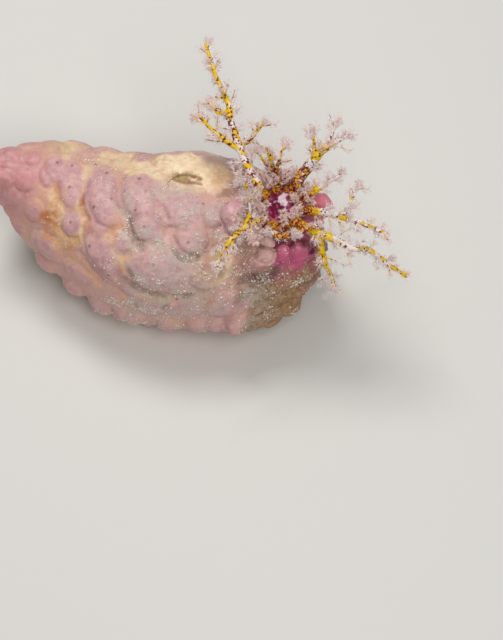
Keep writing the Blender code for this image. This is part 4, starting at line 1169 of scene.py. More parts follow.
def skin_material():
    """Moist warty skin, grown: soft flesh that lets light in a little way, cream in the
    furrows and lilac-pink on the warts, with a wet sheen and dust where it settles."""
    s = bpy.context.scene.sea_cucumber.skin
    made, tree, shader, place, masks = new_material("moist_warty_skin_grown", STORED_ON_SKIN)
    # Lumps of these sizes, with that much detail. The specks are coarser than real ones.
    for name, size, detail in (("broad", 5.0, 3.0), ("blotch", 2.4, 4.0), ("fine", 1.1, 5.0),
                               ("crowd", 3.4, 4.0), ("specks", 0.45, 2.0)):
        inputs = {"Vector": place, "Scale": per(size), "Detail": detail, "Roughness": 0.62}
        masks[name] = add(tree, "ShaderNodeTexNoise", inputs).outputs["Fac"]
    # Close rings round each wart, which the broad lumps bend.
    waves = add(tree, "ShaderNodeMath", {0: masks["nearest"], 1: RINGS_ROUND_WART}, operation="MULTIPLY")
    waves = {0: masks["broad"], 1: RINGS_BENT, 2: waves.outputs[0]}
    waves = add(tree, "ShaderNodeMath", waves, operation="MULTIPLY_ADD")
    masks["waves"] = add(tree, "ShaderNodeMath", {0: waves.outputs[0]}, operation="SINE").outputs[0]
    grains = add(tree, "ShaderNodeTexVoronoi", {"Vector": place, "Scale": per(0.42), "Randomness": 1.0})
    masks["grains"] = grains.outputs["Distance"]
    masks["lines"] = faded(tree, masks, "waves", 0.2, 1.0, ("nearest", 0.8, 1.1, ("under", 0.4, 0.05, 0.12)))
    masks["dust"] = faded(tree, masks, "fine", 0.30, 0.56, "silt")
    throat = bpy.context.scene.sea_cucumber.crown.throat
    flesh = painted(tree, masks, s.peach, (
        # The ground between warts.
        (s.wart_pink, "broad", 0.38, 0.62, 0.8),
        (s.cream, "cream", 0.0, 0.8, 0.95),
        (s.peach, "broad", 0.55, 0.75, 0.35),
        (s.pale, "pale", 0.0, 0.9, ("blotch", 0.30, 0.60, 0.9)),
        (s.wart_pink, "pink", 0.05, 0.9, 0.75),
        (s.orange, "warm", 0.05, 0.85, ("blotch", 0.26, 0.62, 0.68)),
        (s.rust, "rust", 0.0, 1.0, ("blotch", 0.26, 0.64, 0.72)),
        # Warts, the fine lines round them, mottles, and painted shade in the creases.
        (s.wart_pink, "wart"),
        (s.wart_lilac, "blotch", 0.38, 0.66, "wart"),
        (s.peach, "broad", 0.50, 0.72, 0.3),
        (s.orange, "lines"),
        (s.cream, "fine", 0.52, 0.68, 0.34),
        (s.wart_lilac, "fine", 0.46, 0.34, 0.30),
        (s.wart_shade, "crease", 0.25, 1.0, 0.38),
        # Belly, tail and neck.
        (s.tan, "under", 0.05, 0.8, 0.9),
        (s.peach, "under", 0.3, 0.9, ("fine", 0.40, 0.62, 0.35)),
        (s.tail_pink, "tail"),
        (s.wart_pink, "tail", 0.3, 1.0, ("blotch", 0.40, 0.66, 0.6)),
        (s.blush, "blush", 0.0, 1.0, 0.75),
        (s.magenta, "magenta", 0.05, 0.8, 0.9),
        # Dark folds, partly painted shade: umber, then dark red beside the magenta.
        (s.umber, "fold", 0.05, 0.9, 0.72),
        (throat, "fold", 0.05, 0.9, ("magenta", 0.05, 0.8, 0.9)),
        # The collar and the throat.
        (s.wart_pink, "knob"),
        (s.knob, "knob", 0.4, 1.0, ("fine", 0.36, 0.58, 0.8)),
        (s.coral, "coral"),
        (s.petal, "coral", 0.4, 1.0, ("blotch", 0.50, 0.70, 0.3)),
        (s.petal, "petal"),
        (s.petal_deep, "petal", 0.3, 1.0, ("fine", 0.42, 0.64, 0.5)),
        (throat, "throat"),
        # Dents in painted shade, the hump's far end, the slit and its painted shadow, pores, dust and painted
        # crease shade.
        (s.shade_brown, "shaded_valley", 0.05, 0.9, 0.55),
        # Mauve, with painted shade along the hump's top edge.
        (s.mauve, "mauve", 0.0, 1.0, 0.62),
        (s.lining, "slit", 0.05, 0.70, ("blotch", 0.66, 0.44, 0.9)),
        (s.slit_edge_shadow, "slit_edge", 0.15, 1.0, 0.7),
        (s.streak, "streak", 0.2, 0.9, 0.7),
        (s.pore, "pore", 0.0, 1.0, 0.85),
        (s.silt, "dust"),
        (s.mud_and_shade, "mud_and_shade", 0.03, 0.6, ("fine", 0.24, 0.56, 0.72)),
    ))
    # Grains lie in the cells whose random value is high, and in more of them where they crowd.
    chance = faded(tree, masks, "crowd", 0.36, 0.62, 0.45)
    unlikely = {0: RAREST_GRAINS, 1: chance}
    unlikely = add(tree, "ShaderNodeMath", unlikely, operation="SUBTRACT").outputs[0]
    chosen = {0: grains.outputs["Color"], 1: unlikely}
    chosen = add(tree, "ShaderNodeMath", chosen, operation="GREATER_THAN").outputs[0]
    grit = {0: chosen, 1: faded(tree, masks, "sparkle", 0.04, 0.40, ("grains", 0.50, 0.30, 1.0))}
    masks["grit"] = add(tree, "ShaderNodeMath", grit, operation="MULTIPLY").outputs[0]
    bright = {"Value": masks["specks"], "From Min": 0.44, "From Max": 0.60, "To Max": masks["grit"]}
    masks["bright_grit"] = add(tree, "ShaderNodeMapRange", bright).outputs["Result"]
    grit_coats = ((s.silt, "grit"), (s.grit, "bright_grit"), (s.umber, "specks", 0.35, 0.7, 0.07))
    flesh = painted(tree, masks, flesh, grit_coats)
    rough = {"Value": masks["fine"], "From Min": 0.3, "From Max": 0.7, "To Min": 0.38, "To Max": 0.58}
    rough = add(tree, "ShaderNodeMapRange", rough).outputs["Result"]
    dusty = add(tree, "ShaderNodeMix", {0: masks["dust"], 2: rough, 3: 0.8}, data_type="FLOAT").outputs[0]
    # Fine lumps and grains stand up, and the rings round warts are cut in.
    height = add(tree, "ShaderNodeMath", {0: masks["fine"], 1: masks["grit"]}, operation="ADD").outputs[0]
    height = {0: masks["lines"], 1: -RING_DEPTH, 2: height}
    height = add(tree, "ShaderNodeMath", height, operation="MULTIPLY_ADD").outputs[0]
    bump = {"Height": height, "Strength": 0.7, "Distance": 0.22 * MM}
    bump = add(tree, "ShaderNodeBump", bump).outputs["Normal"]
    feed(tree, shader, {
        "Base Color": flesh, "Roughness": dusty, "Normal": bump, "IOR": 1.38,
        "Subsurface Weight": 0.25, "Subsurface Radius": (1.0, 0.35, 0.25),
        "Subsurface Scale": 1.2 * MM, "Coat Weight": 0.12, "Coat Roughness": 0.25,
    })
    return made


class SEA_CUCUMBER_OT_skin(bpy.types.Operator):
    """Makes the warty skin from the tail to the collar's lobes, in one piece"""

    bl_idname = "sea_cucumber.skin"
    bl_label = "Warty skin"

    def execute(self, context):
        made = mesh_of_many("skin", skin_shape(), skin_material())
        melt(made, context.scene.sea_cucumber.skin.detail, SKIN_SMOOTHING)
        dress_skin(made)
        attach(made, "root")
        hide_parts("tail", "trunk_rear", "trunk_middle", "trunk_front", "collar")
        return {"FINISHED"}


def tubes(lines, radii, sides):
    """Points and rows of corners of many closed tapering tubes: lines is (many, points, 3)."""
    many, count, _ = lines.shape
    ahead = unit(np.gradient(lines, axis=1))
    whole = unit(lines[:, -1] - lines[:, 0])
    steady = np.where(np.abs(whole[:, 2:]) < 0.8, [[0.0, 0.0, 1.0]], [[1.0, 0.0, 0.0]])
    side = unit(np.cross(ahead, steady[:, None, :]))
    up = np.cross(side, ahead)
    angles = np.arange(sides) * 2 * math.pi / sides
    around = (
        np.cos(angles)[None, None, :, None] * side[:, :, None, :]
        + np.sin(angles)[None, None, :, None] * up[:, :, None, :]
    )
    rings = lines[:, :, None, :] + radii[:, :, None, None] * around
    ends = np.stack([lines[:, 0], lines[:, -1] + ahead[:, -1] * radii[:, -1:]], axis=1)
    points = np.concatenate([rings.reshape(many, -1, 3), ends], axis=1)
    return points.reshape(-1, 3), copies(corner_rows(stack_faces(count, sides)), many, points.shape[1])


class Line:
    """A smooth line through points, read by distance along it."""

    def __init__(self, points):
        fine = [spline(points, t) for t in np.linspace(0, len(points) - 1, 12 * len(points))]
        self.points = np.array(fine)
        steps = np.linalg.norm(np.diff(self.points, axis=0), axis=1)
        self.at = np.concatenate([[0], np.cumsum(steps)])
        self.length = self.at[-1]

    def read(self, distances):
        return np.stack([np.interp(distances, self.at, self.points[:, i]) for i in range(3)], axis=-1)

    def evenly(self):
        """Even shares of the length, and the places there."""
        distances = np.linspace(0, self.length, max(8, int(self.length / STEM_STEP)))
        return distances / self.length, self.read(distances)


def boss_line(degrees):
    """End of the boss that a tentacle stands on, and the way it points."""
    middle, axis, _, _ = rim_frame()
    out = round_mouth(degrees)
    lean = math.radians(BOSS_LEAN)
    return middle + out * BOSS_RING + axis * BOSS_HEIGHT, axis * math.cos(lean) + out * math.sin(lean)


def shoots(draw, lines, radii, count, shares, reach, thickness, angle, bend=0.3, steps=5, sideways=0.0):
    """One order of side shoots on every line: returns their lines and radii."""
    many, points, _ = lines.shape
    share = np.linspace(*shares, count)[None, :] + draw.uniform(-0.4, 0.4, (many, count)) / max(count, 2)
    share = np.clip(share, 0.02, 0.995)
    at = share * (points - 1)
    low = np.minimum(at.astype(int), points - 2)
    f = (at - low)[..., None]
    rows = np.arange(many)[:, None]
    roots = lines[rows, low] * (1 - f) + lines[rows, low + 1] * f
    ahead = unit(lines[rows, low + 1] - lines[rows, low])
    parent = radii[rows, low] * (1 - f[..., 0]) + radii[rows, low + 1] * f[..., 0]
    turns = draw.uniform(0, math.tau, (many, 1)) + np.arange(count)[None, :] * GOLDEN_TURN
    turns += draw.uniform(-0.5, 0.5, (many, count))
    alternate = np.arange(count)[None, :] % 2 * math.pi + draw.normal(0, 0.5, (many, count))
    turns = np.where(draw.random((many, count)) < sideways, alternate, turns)
    across_it = unit(np.cross(ahead, view_directions()[0]))
    side = np.cos(turns)[..., None] * across_it + np.sin(turns)[..., None] * np.cross(ahead, across_it)
    angle = angle * draw.uniform(0.75, 1.2, (many, count))[..., None]
    way = ahead * np.cos(angle) + side * np.sin(angle)
    reach = reach * draw.uniform(0.6, 1.25, (many, count)) * (1.15 - 0.5 * share)
    line = [roots]
    wander = draw.normal(0, 0.22, (many, count, 3))
    for n in range(steps):
        towards = unit(way * (1 - bend * n / steps) + ahead * (bend * n / steps) + wander * n / steps)
        line.append(line[-1] + towards * (reach / steps)[..., None])
    made = np.stack(line, axis=2).reshape(many * count, steps + 1, 3)
    thick = np.minimum(thickness * draw.uniform(0.8, 1.2, (many, count)), 0.85 * parent).reshape(-1, 1)
    taper = np.linspace(1, 0.45, steps + 1)
    taper[0] = 1.25
    return made, thick * taper[None, :]


def lifted(lines, radii, skin, clearance):
    """Pushes shoots out of the skin, and leaves out those that leave the box."""
    low = np.array(CAD_BOX[0]) / MM - ORIGIN - BOX_MARGIN
    high = np.array(CAD_BOX[1]) / MM - ORIGIN + BOX_MARGIN
    fits = ((lines[:, -1] > low) & (lines[:, -1] < high)).all(axis=1)
    lines, radii = lines[fits].copy(), radii[fits]
    for line, radius in zip(lines, radii):
        for n in range(1, len(line)):
            hit, normal, _, gap = skin.find_nearest(Vector(line[n]), 6.0)
            if hit is None:
                continue
            signed = math.copysign(gap, (Vector(line[n]) - hit).dot(normal))
            if signed < clearance + radius[n]:
                line[n:] += np.array(normal) * (clearance + radius[n] - signed)
    return lines, radii


def crooked(line):
    """The line with slight bends, more of them away from its root."""
    bends = np.column_stack([noise(line, 2.8, seed) for seed in (13, 14, 15)])
    return line + BEND * bends * np.linspace(0, 1, len(line))[:, None] ** 0.5


def stem_and_forks(spec):
    """The stem's fine line with its radii, and those of its forks."""
    end, lean = boss_line(spec["round_mouth"])
    shown = [end, end + lean * STEM_RISE, *spec["points"]]
    line = Line(np.array([end - lean * STEM_SUNK, *shown]))
    root, tip = spec["radii"]
    share, places = line.evenly()
    swell = 1 + 0.09 * noise(places, 1.6, 11) + 0.06 * noise(places, 0.8, 12)
    stem = crooked(places), STEM_FULLNESS * (root + (tip - root) * share**0.9) * swell
    own = Line(np.array(shown))
    forks = []
    for at, radius, points in spec["forks"]:
        share, places = Line(np.array([own.read(at * own.length), *points])).evenly()
        forks.append((crooked(places), radius * np.linspace(1, FORK_TIP, len(places))))
    return stem, forks


def joined(groups):
    return np.concatenate([g[0] for g in groups]), np.concatenate([g[1] for g in groups])


def tufts(draw, spec, skin):
    """Short dense tufts at a tentacle's root: their trunks, fronds and fringe."""
    _, axis, _, _ = rim_frame()
    end, _ = boss_line(spec["round_mouth"])
    out = round_mouth(spec["round_mouth"])
    around = np.cross(axis, out)
    count, outward, _ = spec["tufts"]
    lines, radii = [], []
    for _ in range(count):
        place = draw.uniform(*spec.get("tuft_sides", TUFT_SIDES))
        root = end + around * TUFT_AROUND * place - axis * draw.uniform(*TUFT_DOWN)
        root += out * (2 * outward + draw.uniform(-TUFT_OUTWARD, TUFT_OUTWARD))
        way = unit(axis + around * 0.9 * place + out * (outward + draw.uniform(-0.7, 0.7)))
        reach = draw.uniform(*spec.get("tuft_reach", TUFT_REACH))
        shares = np.linspace(0, 1, TUFT_POINTS)
        lines.append([root + way * reach * f + axis * 0.3 * f * f for f in shares])
        radii.append(np.linspace(*TUFT_RADII, TUFT_POINTS))
    trunks = np.array(lines), np.array(radii)
    fronds = lifted(*shoots(draw, *trunks, **FRONDS), skin, FRONDS_CLEAR)
    return trunks, fronds, shoots(draw, *fronds, **FRINGE)


def tentacle(name, spec, skin, material):
    """One feeding tentacle: stem, forks, arms, twigs, twiglets and their pointed ends."""
    c = bpy.context.scene.sea_cucumber.crown
    draw = np.random.default_rng(sum(map(ord, name)) * 7 + len(spec["points"]))
    stem, forks = stem_and_forks(spec)
    arms, twigs, groups = [], [], []
    side_reach = spec["tufts"][2]
    brush, brush_reach = spec.get("brush", BRUSH)
    arm_radius, twig_radius = c.arm_radius / MM, c.twig_radius / MM
    for n, (line, radii) in enumerate([stem, *forks]):
        # Each group has its lines and radii, the sides of its tubes, its rank and whether it is
        # part of a fork or of a tuft.
        groups.append((line[None], radii[None], 14, 0.0, n > 0, False))
        grow = partial(shoots, draw, line[None], radii[None])
        first, arm_reach = ON_STEM if n == 0 else ON_FORK
        bearing = np.linalg.norm(np.diff(line, axis=0), axis=1).sum() * (1 - first) * MM
        count = max(2, round(bearing / c.arms_apart))
        size = dict(reach=side_reach * arm_reach, thickness=arm_radius)
        arms.append(grow(count, (first, ARMS_END), **size, **SIDE_ARMS))
        arms.append(grow(reach=side_reach * TIP_ARM_REACH, **TIP_ARMS))
        twigs.append(grow(brush, reach=brush_reach, **TIP_TWIGS))
        sprays = max(2, round(bearing / c.sprays_apart))
        arms.append(grow(sprays, (first, SHOOTS_END), side_reach * SPRAY_REACH, **SPRAYS))
        hairs = max(3, round(bearing / c.hairs_apart))
        twigs.append(grow(hairs, (first, SHOOTS_END), thickness=twig_radius, **HAIRS))
    arms = lifted(*joined(arms), skin, ARMS_CLEAR)
    size = dict(reach=TWIG_REACH * min(1, 2.2 * side_reach), thickness=twig_radius)
    twigs.append(shoots(draw, *arms, c.twigs, **size, **TWIGS))
    twigs = lifted(*joined(twigs), skin, TWIGS_CLEAR)
    twiglets = shoots(draw, *twigs, c.twiglets, **TWIGLETS)
    spurs = shoots(draw, *twiglets, **SPURS)
    trunks, fronds, fringe = tufts(draw, spec, skin)
    for lines, sides, rank, in_tuft in (
        (arms, 8, 0.3, False), (twigs, 5, 0.7, False), (twiglets, 4, 0.9, False), (spurs, 3, 1.0, False),
        (trunks, 8, 0.3, True), (fronds, 5, 0.7, True), (fringe, 3, 1.0, True),
    ):
        groups.append((*lines, sides, rank, False, in_tuft))
    parts = [tubes(lines, radii, sides) for lines, radii, sides, *_ in groups]
    made = mesh_of_many(name, parts, material)

    def each_point(column):
        """A group's value for every point of its tubes."""
        values = [np.full(len(part[0]), float(group[column])) for part, group in zip(parts, groups)]
        return np.concatenate(values)

    middle, axis, _, _ = rim_frame()
    far = np.linalg.norm(own_points(made) - (middle + axis * GILT_HEIGHT), axis=1)
    reach = spec.get("amber_reach", AMBER_REACH)
    give(made, "order", each_point(3))
    give(made, "tuft", each_point(5))
    give(made, "base", smooth(reach, reach - AMBER_FADE, far))
    give(made, "gilt", np.interp(far, *zip(*spec["gilt"])) + each_point(4) * spec.get("fork_gilt", 0.0))
    give(made, "streaky", np.full(len(far), spec.get("streaky", 0.2)))
    return made


def tentacle_material():
    """Moist tentacle flesh, grown: clear white with paint-like yellow patches and dark red
    spots on the stems, fading to pale pink, half see-through twigs."""
    c = bpy.context.scene.sea_cucumber.crown
    stored = ("order", "base", "tuft", "gilt", "streaky")
    made, tree, shader, place, masks = new_material("moist_tentacle_flesh_grown", stored)
    for name, size in (("patches", 3.0), ("streaks", 1.15)):
        inputs = {"Vector": place, "Scale": per(size), "Detail": 2.0}
        masks[name] = add(tree, "ShaderNodeTexNoise", inputs).outputs["Fac"]
    push = {"Vector": place, "Scale": per(1.3), "Detail": 2.0}
    push = add(tree, "ShaderNodeTexNoise", push).outputs["Color"]
    pushed = {0: push, 1: (1.6 * MM,) * 3, 2: place}
    pushed = add(tree, "ShaderNodeVectorMath", pushed, operation="MULTIPLY_ADD").outputs[0]
    for name, size, feature in (("dots", 1.0, "F1"), ("net", 1.15, "DISTANCE_TO_EDGE")):
        inputs = {"Vector": pushed, "Scale": per(size)}
        masks[name] = add(tree, "ShaderNodeTexVoronoi", inputs, feature=feature).outputs["Distance"]
    gilded = {0: masks["gilt"], 1: 0.14, 2: masks["patches"]}
    masks["gilded"] = add(tree, "ShaderNodeMath", gilded, operation="MULTIPLY_ADD").outputs[0]
    masks["arm"] = faded(tree, masks, "order", 0.05, 0.25, 1.0)
    masks["thick"] = faded(tree, masks, "order", 0.62, 0.3, 1.0)
    flesh = painted(tree, masks, c.white, (
        (c.yellow, "gilded", 0.485, 0.51, 1.0),
        (c.amber, "base", 0.0, 1.0, ("gilded", 0.485, 0.51, 1.0)),
        (c.white, "arm"),
        (c.yellow, "gilded", 0.52, 0.56, "arm"),
        (c.amber, "base", 0.0, 1.0, "arm"),
        (c.twig_pink, "order", 0.35, 0.68, 1.0),
        (c.tuft, "order", 0.25, 0.6, "tuft"),
        (c.yellow, "patches", 0.48, 0.54, ("order", 0.95, 0.65, 0.12)),
        (c.crimson, "streaks", 0.575, 0.595, ("streaky", 0.0, 1.0, "thick")),
        (c.crimson, "dots", 0.34, 0.27, "thick"),
        (c.crimson, "streaks", 0.64, 0.68, 0.35),
        (c.crimson, "net", 0.14, 0.06, ("base", 0.1, 0.9, "thick")),
    ))
    bump = {"Height": masks["streaks"], "Strength": 0.35, "Distance": 0.12 * MM}
    bump = add(tree, "ShaderNodeBump", bump).outputs["Normal"]
    feed(tree, shader, {
        "Base Color": flesh, "Normal": bump, "Roughness": 0.38, "IOR": 1.36,
        "Subsurface Weight": faded(tree, masks, "order", 0.35, 0.68, 0.15),
        "Subsurface Radius": (1.0, 0.8, 0.75),
        "Subsurface Scale": 0.8 * MM,
    })
    return made


class SEA_CUCUMBER_OT_tentacles(bpy.types.Operator):
    """Grows the ten branched feeding tentacles, clear of the skin"""

    bl_idname = "sea_cucumber.tentacles"
    bl_label = "Feeding tentacles"

    def execute(self, context):
        skin = surface(finished_skin("tentacles"))
        finish = tentacle_material()
        nodes = list(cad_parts)
        for name, spec in TENTACLES.items():
            made = tentacle(name, spec, skin, finish)
            own = [n for n in nodes if n == name or n.startswith(name + "_")]
            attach(made, "root")
            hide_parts(*own)
        return {"FINISHED"}


def mouth_shape():
    """The soft dome round the mouth, with a short boss under each tentacle."""
    middle, axis, right, far = rim_frame()
    angles = np.arange(INTROVERT_SIDES) * 2 * math.pi / INTROVERT_SIDES
    turn = np.outer(np.cos(angles), right) + np.outer(np.sin(angles), far)
    rows = np.linspace(0, len(INTROVERT_PROFILE) - 1, INTROVERT_RINGS)
    profile = [spline(INTROVERT_PROFILE, t) for t in rows]
    rings = [middle + axis * (height + INTROVERT_LIFT) + radius * turn for radius, height in profile]
    ends = [middle + axis * height for height in INTROVERT_ENDS]
    parts = [(np.vstack([*rings, *ends]), corner_rows(stack_faces(len(rings), INTROVERT_SIDES)))]
    for spec in TENTACLES.values():
        end, lean = boss_line(spec["round_mouth"])
        line = np.array([end - lean * BOSS_SUNK * f for f in (1, 0.66, 0.33, 0)])[None]
        parts.append(tubes(line, np.full((1, 4), spec["radii"][0] * BOSS_FULLNESS), BOSS_SIDES))
    return parts


def lips():
    """Small pale folds in the middle of the mouth."""
    middle, axis, right, far = rim_frame()
    draw = np.random.default_rng(3)
    parts = [egg(middle + np.array(LIP_BODY) @ (right, far, axis), (right, far, axis), LIP_BODY_HALVES)]
    for _ in range(LIPS):
        out = round_mouth(draw.uniform(0, 360))
        at = middle + np.array(LIP_MIDDLE) @ (right, far) + out * draw.uniform(0.0, LIP_RING)
        at = at + axis * draw.uniform(*LIP_HEIGHTS)
        along = unit(draw.normal(0, 1, 3))
        across = unit(np.cross(along, axis))
        halves = [draw.uniform(*limits) for limits in LIP_SIZES]
        parts.append(egg(at, (along, across, np.cross(along, across)), halves))
    return parts


def mouth_material():
    """Wet throat skin, grown: deep crimson, smooth and glossy, with paler lips."""
    c = bpy.context.scene.sea_cucumber.crown
    made, tree, shader, place, masks = new_material("wet_throat_skin_grown", ("lip", "boss"))
    folds = {"Vector": place, "Scale": per(0.9), "Detail": 3.0}
    masks["folds"] = add(tree, "ShaderNodeTexNoise", folds).outputs["Fac"]
    flesh = painted(tree, masks, c.throat, (
        (bpy.context.scene.sea_cucumber.skin.magenta, "folds", 0.5, 0.68, 0.6),
        (c.amber, "folds", 0.42, 0.5, "boss"),
        (c.lip, "lip", 0.0, 1.0, 0.9),
    ))
    bump = {"Height": masks["folds"], "Strength": 0.5, "Distance": 0.2 * MM}
    bump = add(tree, "ShaderNodeBump", bump).outputs["Normal"]
    feed(tree, shader, {
        "Base Color": flesh, "Normal": bump, "Roughness": 0.36, "IOR": 1.38,
        "Subsurface Weight": 0.25, "Subsurface Radius": (1.0, 0.3, 0.3),
        "Subsurface Scale": 0.8 * MM,
    })
    return made


class SEA_CUCUMBER_OT_mouth(bpy.types.Operator):
    """Makes the soft neck round the mouth and its lips"""

    bl_idname = "sea_cucumber.mouth"
    bl_label = "Mouth"

    def execute(self, context):
        made = mesh_of_many("mouth", mouth_shape() + lips(), mouth_material())
        melt(made, MOUTH_DETAIL, MOUTH_SMOOTHING)
        points, facing = own_points(made), point_values(made, "normal")
        middle, axis, right, far = rim_frame()
        d = points - middle
        height = d @ axis
        distance = np.linalg.norm(d - np.outer(height, axis), axis=1)
        angle = np.arctan2(d @ far, d @ right)
        turned = np.column_stack([np.cos(angle), np.sin(angle), distance * 0.06])
        ridges = 0.34 * noise(turned, 0.24, 22) * smooth(1.4, 2.6, distance)
        move_points(made, points + facing * (ridges + 0.10 * noise(points, 0.8, 21))[:, None])
        lip_middle = middle + np.array(PALE_LIP_MIDDLE) @ (right, far)
        from_lips = np.linalg.norm(points - lip_middle - np.outer(height, axis), axis=1)
        pale = smooth(2.1, 0.9, from_lips + 1.5 * noise(points, 0.9, 23)) * smooth(3.6, 4.6, height)
        give(made, "lip", pale)
        ends = [boss_line(spec["round_mouth"])[0] for spec in TENTACLES.values()]
        from_boss = np.min([np.linalg.norm(points - end, axis=1) for end in ends], axis=0)
        give(made, "boss", smooth(3.0, 1.6, from_boss))
        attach(made, "root")
        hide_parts("introvert")
        return {"FINISHED"}


def sole_line(x):
    """Where the middle of the sole runs at x."""
    return float(np.interp(x, STATIONS[2:10, 0], STATIONS[2:10, 1]))


def foot_material():
    """Moist tube-foot flesh, grown: pale, soft and half see-through, with a whiter disc."""
    f = bpy.context.scene.sea_cucumber.feet
    made, tree, shader, place, masks = new_material("moist_tube_foot_flesh_grown", ("disc",))
    lumps = {"Vector": place, "Scale": per(0.4), "Detail": 3.0}
    masks["lumps"] = add(tree, "ShaderNodeTexNoise", lumps).outputs["Fac"]
    flesh = painted(tree, masks, f.stalk_colour, ((f.disc_colour, "disc"), (f.lump_colour, "lumps")))
    bump = {"Height": masks["lumps"], "Strength": 0.4, "Distance": 0.1 * MM}
    bump = add(tree, "ShaderNodeBump", bump).outputs["Normal"]
    feed(tree, shader, {
        "Base Color": flesh, "Normal": bump, "Roughness": 0.4, "IOR": 1.37,
        "Subsurface Weight": 0.3, "Subsurface Scale": 0.6 * MM,
    })
    return made


class SEA_CUCUMBER_OT_tube_feet(bpy.types.Operator):
    """Sets rows of tube feet with suckers under the sole"""

    bl_idname = "sea_cucumber.tube_feet"
    bl_label = "Tube feet"

    def execute(self, context):
        skin = surface(finished_skin("tube feet"))
        f = context.scene.sea_cucumber.feet
        stalk, disc = f.stalk / MM, f.disc / MM
        sucker, widths = zip(*SUCKER_PROFILE)
        radii = np.array([stalk + (disc - stalk) * width for width in widths] + [stalk] * STALK_RINGS)
        draw = np.random.default_rng(5)
        parts, discs = [], []
        for row, offset in enumerate(FOOT_ROWS):
            for n in range(int((FOOT_LAST - FOOT_FIRST) / FOOT_STEP)):
                shift_x, shift_y = (draw.uniform(-jitter, jitter) for jitter in FOOT_JITTER)
                x = FOOT_FIRST + (n + 0.5 * (row % 2)) * FOOT_STEP + shift_x
                y = sole_line(x) + offset + shift_y
                hit = skin.ray_cast(Vector((x, y, -1.0)), Vector((0.0, 0.0, 1.0)))[0]
                if hit is None or hit.z > FOOT_SKIN_HEIGHT or draw.random() < FEET_LEFT_OUT:
                    continue
                heights = np.append(sucker, np.linspace(STALK_START, hit.z + STALK_SUNK, STALK_RINGS))
                size = draw.uniform(*FOOT_SIZES)
                lean = np.outer(heights, draw.normal(0, FOOT_LEAN, 2))
                line = np.column_stack([x + lean[:, 0], y + lean[:, 1], heights])
                points, corners = tubes(line[None], size * radii[None], FOOT_SIDES)
                points[:, 2] = np.maximum(points[:, 2], 0.0)
                parts.append((points, corners))
                discs.append(smooth(0.55, 0.3, points[:, 2]))
        made = mesh_of_many("tube_feet", parts, foot_material())
        give(made, "disc", np.concatenate(discs))
        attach(made, "root")
        return {"FINISHED"}


def grain_material():
    """Shell sand, worn by waves: hard, pale and a little glossy, with duller grains between."""
    g = bpy.context.scene.sea_cucumber.grains
    made, tree, shader, _, masks = new_material("shell_sand_worn_by_waves", ("bright",))
    base = painted(tree, masks, g.dull, ((g.pale, "bright"),))
    feed(tree, shader, {"Base Color": base, "Roughness": 0.35, "IOR": 1.5})
    return made


class SEA_CUCUMBER_OT_grains(bpy.types.Operator):
    """Scatters grains of sand where they sparkle on the skin"""

    bl_idname = "sea_cucumber.grains"
    bl_label = "Grains of sand"

    def execute(self, context):
        body = finished_skin("grains")
        g = context.scene.sea_cucumber.grains
        draw = np.random.default_rng(11)
        points, facing = own_points(body), point_values(body, "normal")
        share = np.empty(len(points), np.float32)
        body.data.attributes["sparkle"].data.foreach_get("value", share)
        crowd = np.clip(0.5 + 0.8 * noise(points, 3.4, 81) + 0.4 * noise(points, 1.4, 82), 0.02, 1)
        share = share * crowd**GRAIN_CROWDING
        chosen = draw.choice(len(points), g.count, replace=False, p=share / share.sum())
        knobs, corners = ball(1)
        turns = np.linalg.qr(draw.normal(0, 1, (g.count, 3, 3)))[0]
        radii = g.size / MM * np.clip(np.exp(draw.normal(0, GRAIN_SPREAD, g.count)), *GRAIN_LIMITS)
        shapes = knobs[None] * draw.uniform(0.55, 1.2, (g.count, len(knobs), 1)) * radii[:, None, None]
        middles = points[chosen] + facing[chosen] * (GRAIN_RISE * radii)[:, None]
        sand = (middles[:, None] + shapes @ turns).reshape(-1, 3)
        corners = copies(corners, g.count, len(knobs))
        made = mesh_of_many("grains", [(sand, corners)], grain_material())
        made.data.shade_flat()
        give(made, "bright", np.repeat(draw.random(g.count) ** 1.5, len(knobs)))
        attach(made, "root")
        return {"FINISHED"}


def floor_material(colour_value):
    """Painted board, rolled: even, pale and matt, with a barely seen orange-peel."""
    made, tree, shader, place, _ = new_material("painted_board_rolled")
    peel = {"Vector": place, "Scale": per(1.5), "Detail": 2.0}
    peel = add(tree, "ShaderNodeTexNoise", peel).outputs["Fac"]
    bump = {"Height": peel, "Strength": 0.08, "Distance": 0.05 * MM}
    bump = add(tree, "ShaderNodeBump", bump).outputs["Normal"]
    feed(tree, shader, {"Base Color": colour_value, "Roughness": 0.75, "Normal": bump})
    return made


def soft_light(name, at, power, size):
    """A square lamp that faces the animal."""
    lamp = bpy.data.lights.new(name, "AREA")
    lamp.energy, lamp.size = power, size
    made = bpy.data.objects.new(name, lamp)
    made.location = at
    made.rotation_euler = (Vector(LIT_PLACE) - Vector(at)).to_track_quat("-Z", "Y").to_euler()
    bpy.context.scene.collection.objects.link(made)


def aim_camera(context):
    """Aims below the animal, so that it lies in the upper half of the tall picture."""
    lens = bpy.data.cameras.new("camera")
    lens.lens, lens.sensor_width, lens.clip_end = LENS, SENSOR, 20.0
    camera = bpy.data.objects.new("camera", lens)
    context.scene.collection.objects.link(camera)
    _, right, up = view_directions()
    middle = np.array(BODY_MIDDLE)
    for direction, place in zip((right, up), VIEW_MIDDLE):
        middle = middle + direction * (place - middle @ direction)
    below = math.atan(BODY_ABOVE_MIDDLE / DISTANCE)
    elevation = math.radians(SEEN_FROM) + below
    back = np.array([0.0, -math.cos(elevation), math.sin(elevation)])
    camera.location = Vector((middle + ORIGIN) * MM) + Vector(back * DISTANCE * MM)
    camera.rotation_euler = (math.pi / 2 - elevation, 0.0, 0.0)
    context.scene.camera = camera


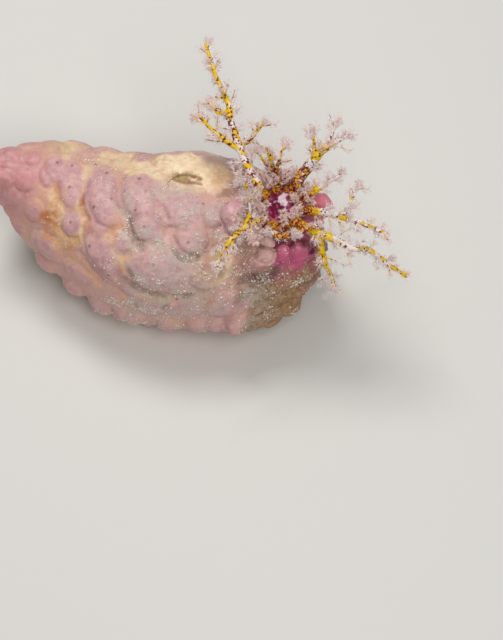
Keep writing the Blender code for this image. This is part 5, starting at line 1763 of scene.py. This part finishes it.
class SEA_CUCUMBER_OT_stage(bpy.types.Operator):
    """Lays the plain floor, sets soft light and aims the camera"""

    bl_idname = "sea_cucumber.stage"
    bl_label = "Floor, light and camera"

    def execute(self, context):
        s = context.scene.sea_cucumber.stage
        mesh = bpy.data.meshes.new("floor")
        corners = [(x * FLOOR_HALF, y * FLOOR_HALF, 0) for x, y in ((-1, -1), (1, -1), (1, 1), (-1, 1))]
        mesh.from_pydata(corners, [], [(0, 1, 2, 3)])
        mesh.materials.append(floor_material(s.floor))
        floor = bpy.data.objects.new("floor", mesh)
        context.scene.collection.objects.link(floor)
        soft_light("key_light", KEY_PLACE, s.key_power, KEY_SIZE)
        soft_light("fill_light", FILL_PLACE, s.fill_power, FILL_SIZE)
        world = bpy.data.worlds.new("even_light")
        world.use_nodes = True
        background = world.node_tree.nodes["Background"]
        background.inputs["Color"].default_value = SKY_COLOUR
        background.inputs["Strength"].default_value = s.sky
        context.scene.world = world
        context.scene.view_settings.view_transform = "Standard"
        aim_camera(context)
        return {"FINISHED"}


class SEA_CUCUMBER_PT_panel(bpy.types.Panel):
    """Lists the operators and their settings"""

    bl_idname = "SEA_CUCUMBER_PT_panel"
    bl_label = "Sea Cucumber"
    bl_space_type = "VIEW_3D"
    bl_region_type = "UI"
    bl_category = "Sea Cucumber"

    def draw(self, context):
        settings = context.scene.sea_cucumber
        for operator, group in (
            (SEA_CUCUMBER_OT_skin, settings.skin),
            (SEA_CUCUMBER_OT_mouth, settings.crown),
            (SEA_CUCUMBER_OT_tentacles, settings.crown),
            (SEA_CUCUMBER_OT_tube_feet, settings.feet),
            (SEA_CUCUMBER_OT_grains, settings.grains),
            (SEA_CUCUMBER_OT_stage, settings.stage),
        ):
            box = self.layout.box()
            box.operator(operator.bl_idname)
            for name in group.__annotations__:
                box.prop(group, name)


CLASSES = (
    SkinSettings,
    CrownSettings,
    FootSettings,
    GrainSettings,
    StageSettings,
    CucumberSettings,
    SEA_CUCUMBER_OT_skin,
    SEA_CUCUMBER_OT_mouth,
    SEA_CUCUMBER_OT_tentacles,
    SEA_CUCUMBER_OT_tube_feet,
    SEA_CUCUMBER_OT_grains,
    SEA_CUCUMBER_OT_stage,
    SEA_CUCUMBER_PT_panel,
)


def register():
    for each in CLASSES:
        bpy.utils.register_class(each)
    bpy.types.Scene.sea_cucumber = PointerProperty(type=CucumberSettings)


def unregister():
    del bpy.types.Scene.sea_cucumber
    for each in reversed(CLASSES):
        bpy.utils.unregister_class(each)


def main():
    register()
    bpy.ops.sea_cucumber.skin()
    bpy.ops.sea_cucumber.mouth()
    bpy.ops.sea_cucumber.tentacles()
    bpy.ops.sea_cucumber.tube_feet()
    bpy.ops.sea_cucumber.grains()
    bpy.ops.sea_cucumber.stage()
    bpy.context.view_layer.update()


if __name__ == "__main__":
    main()
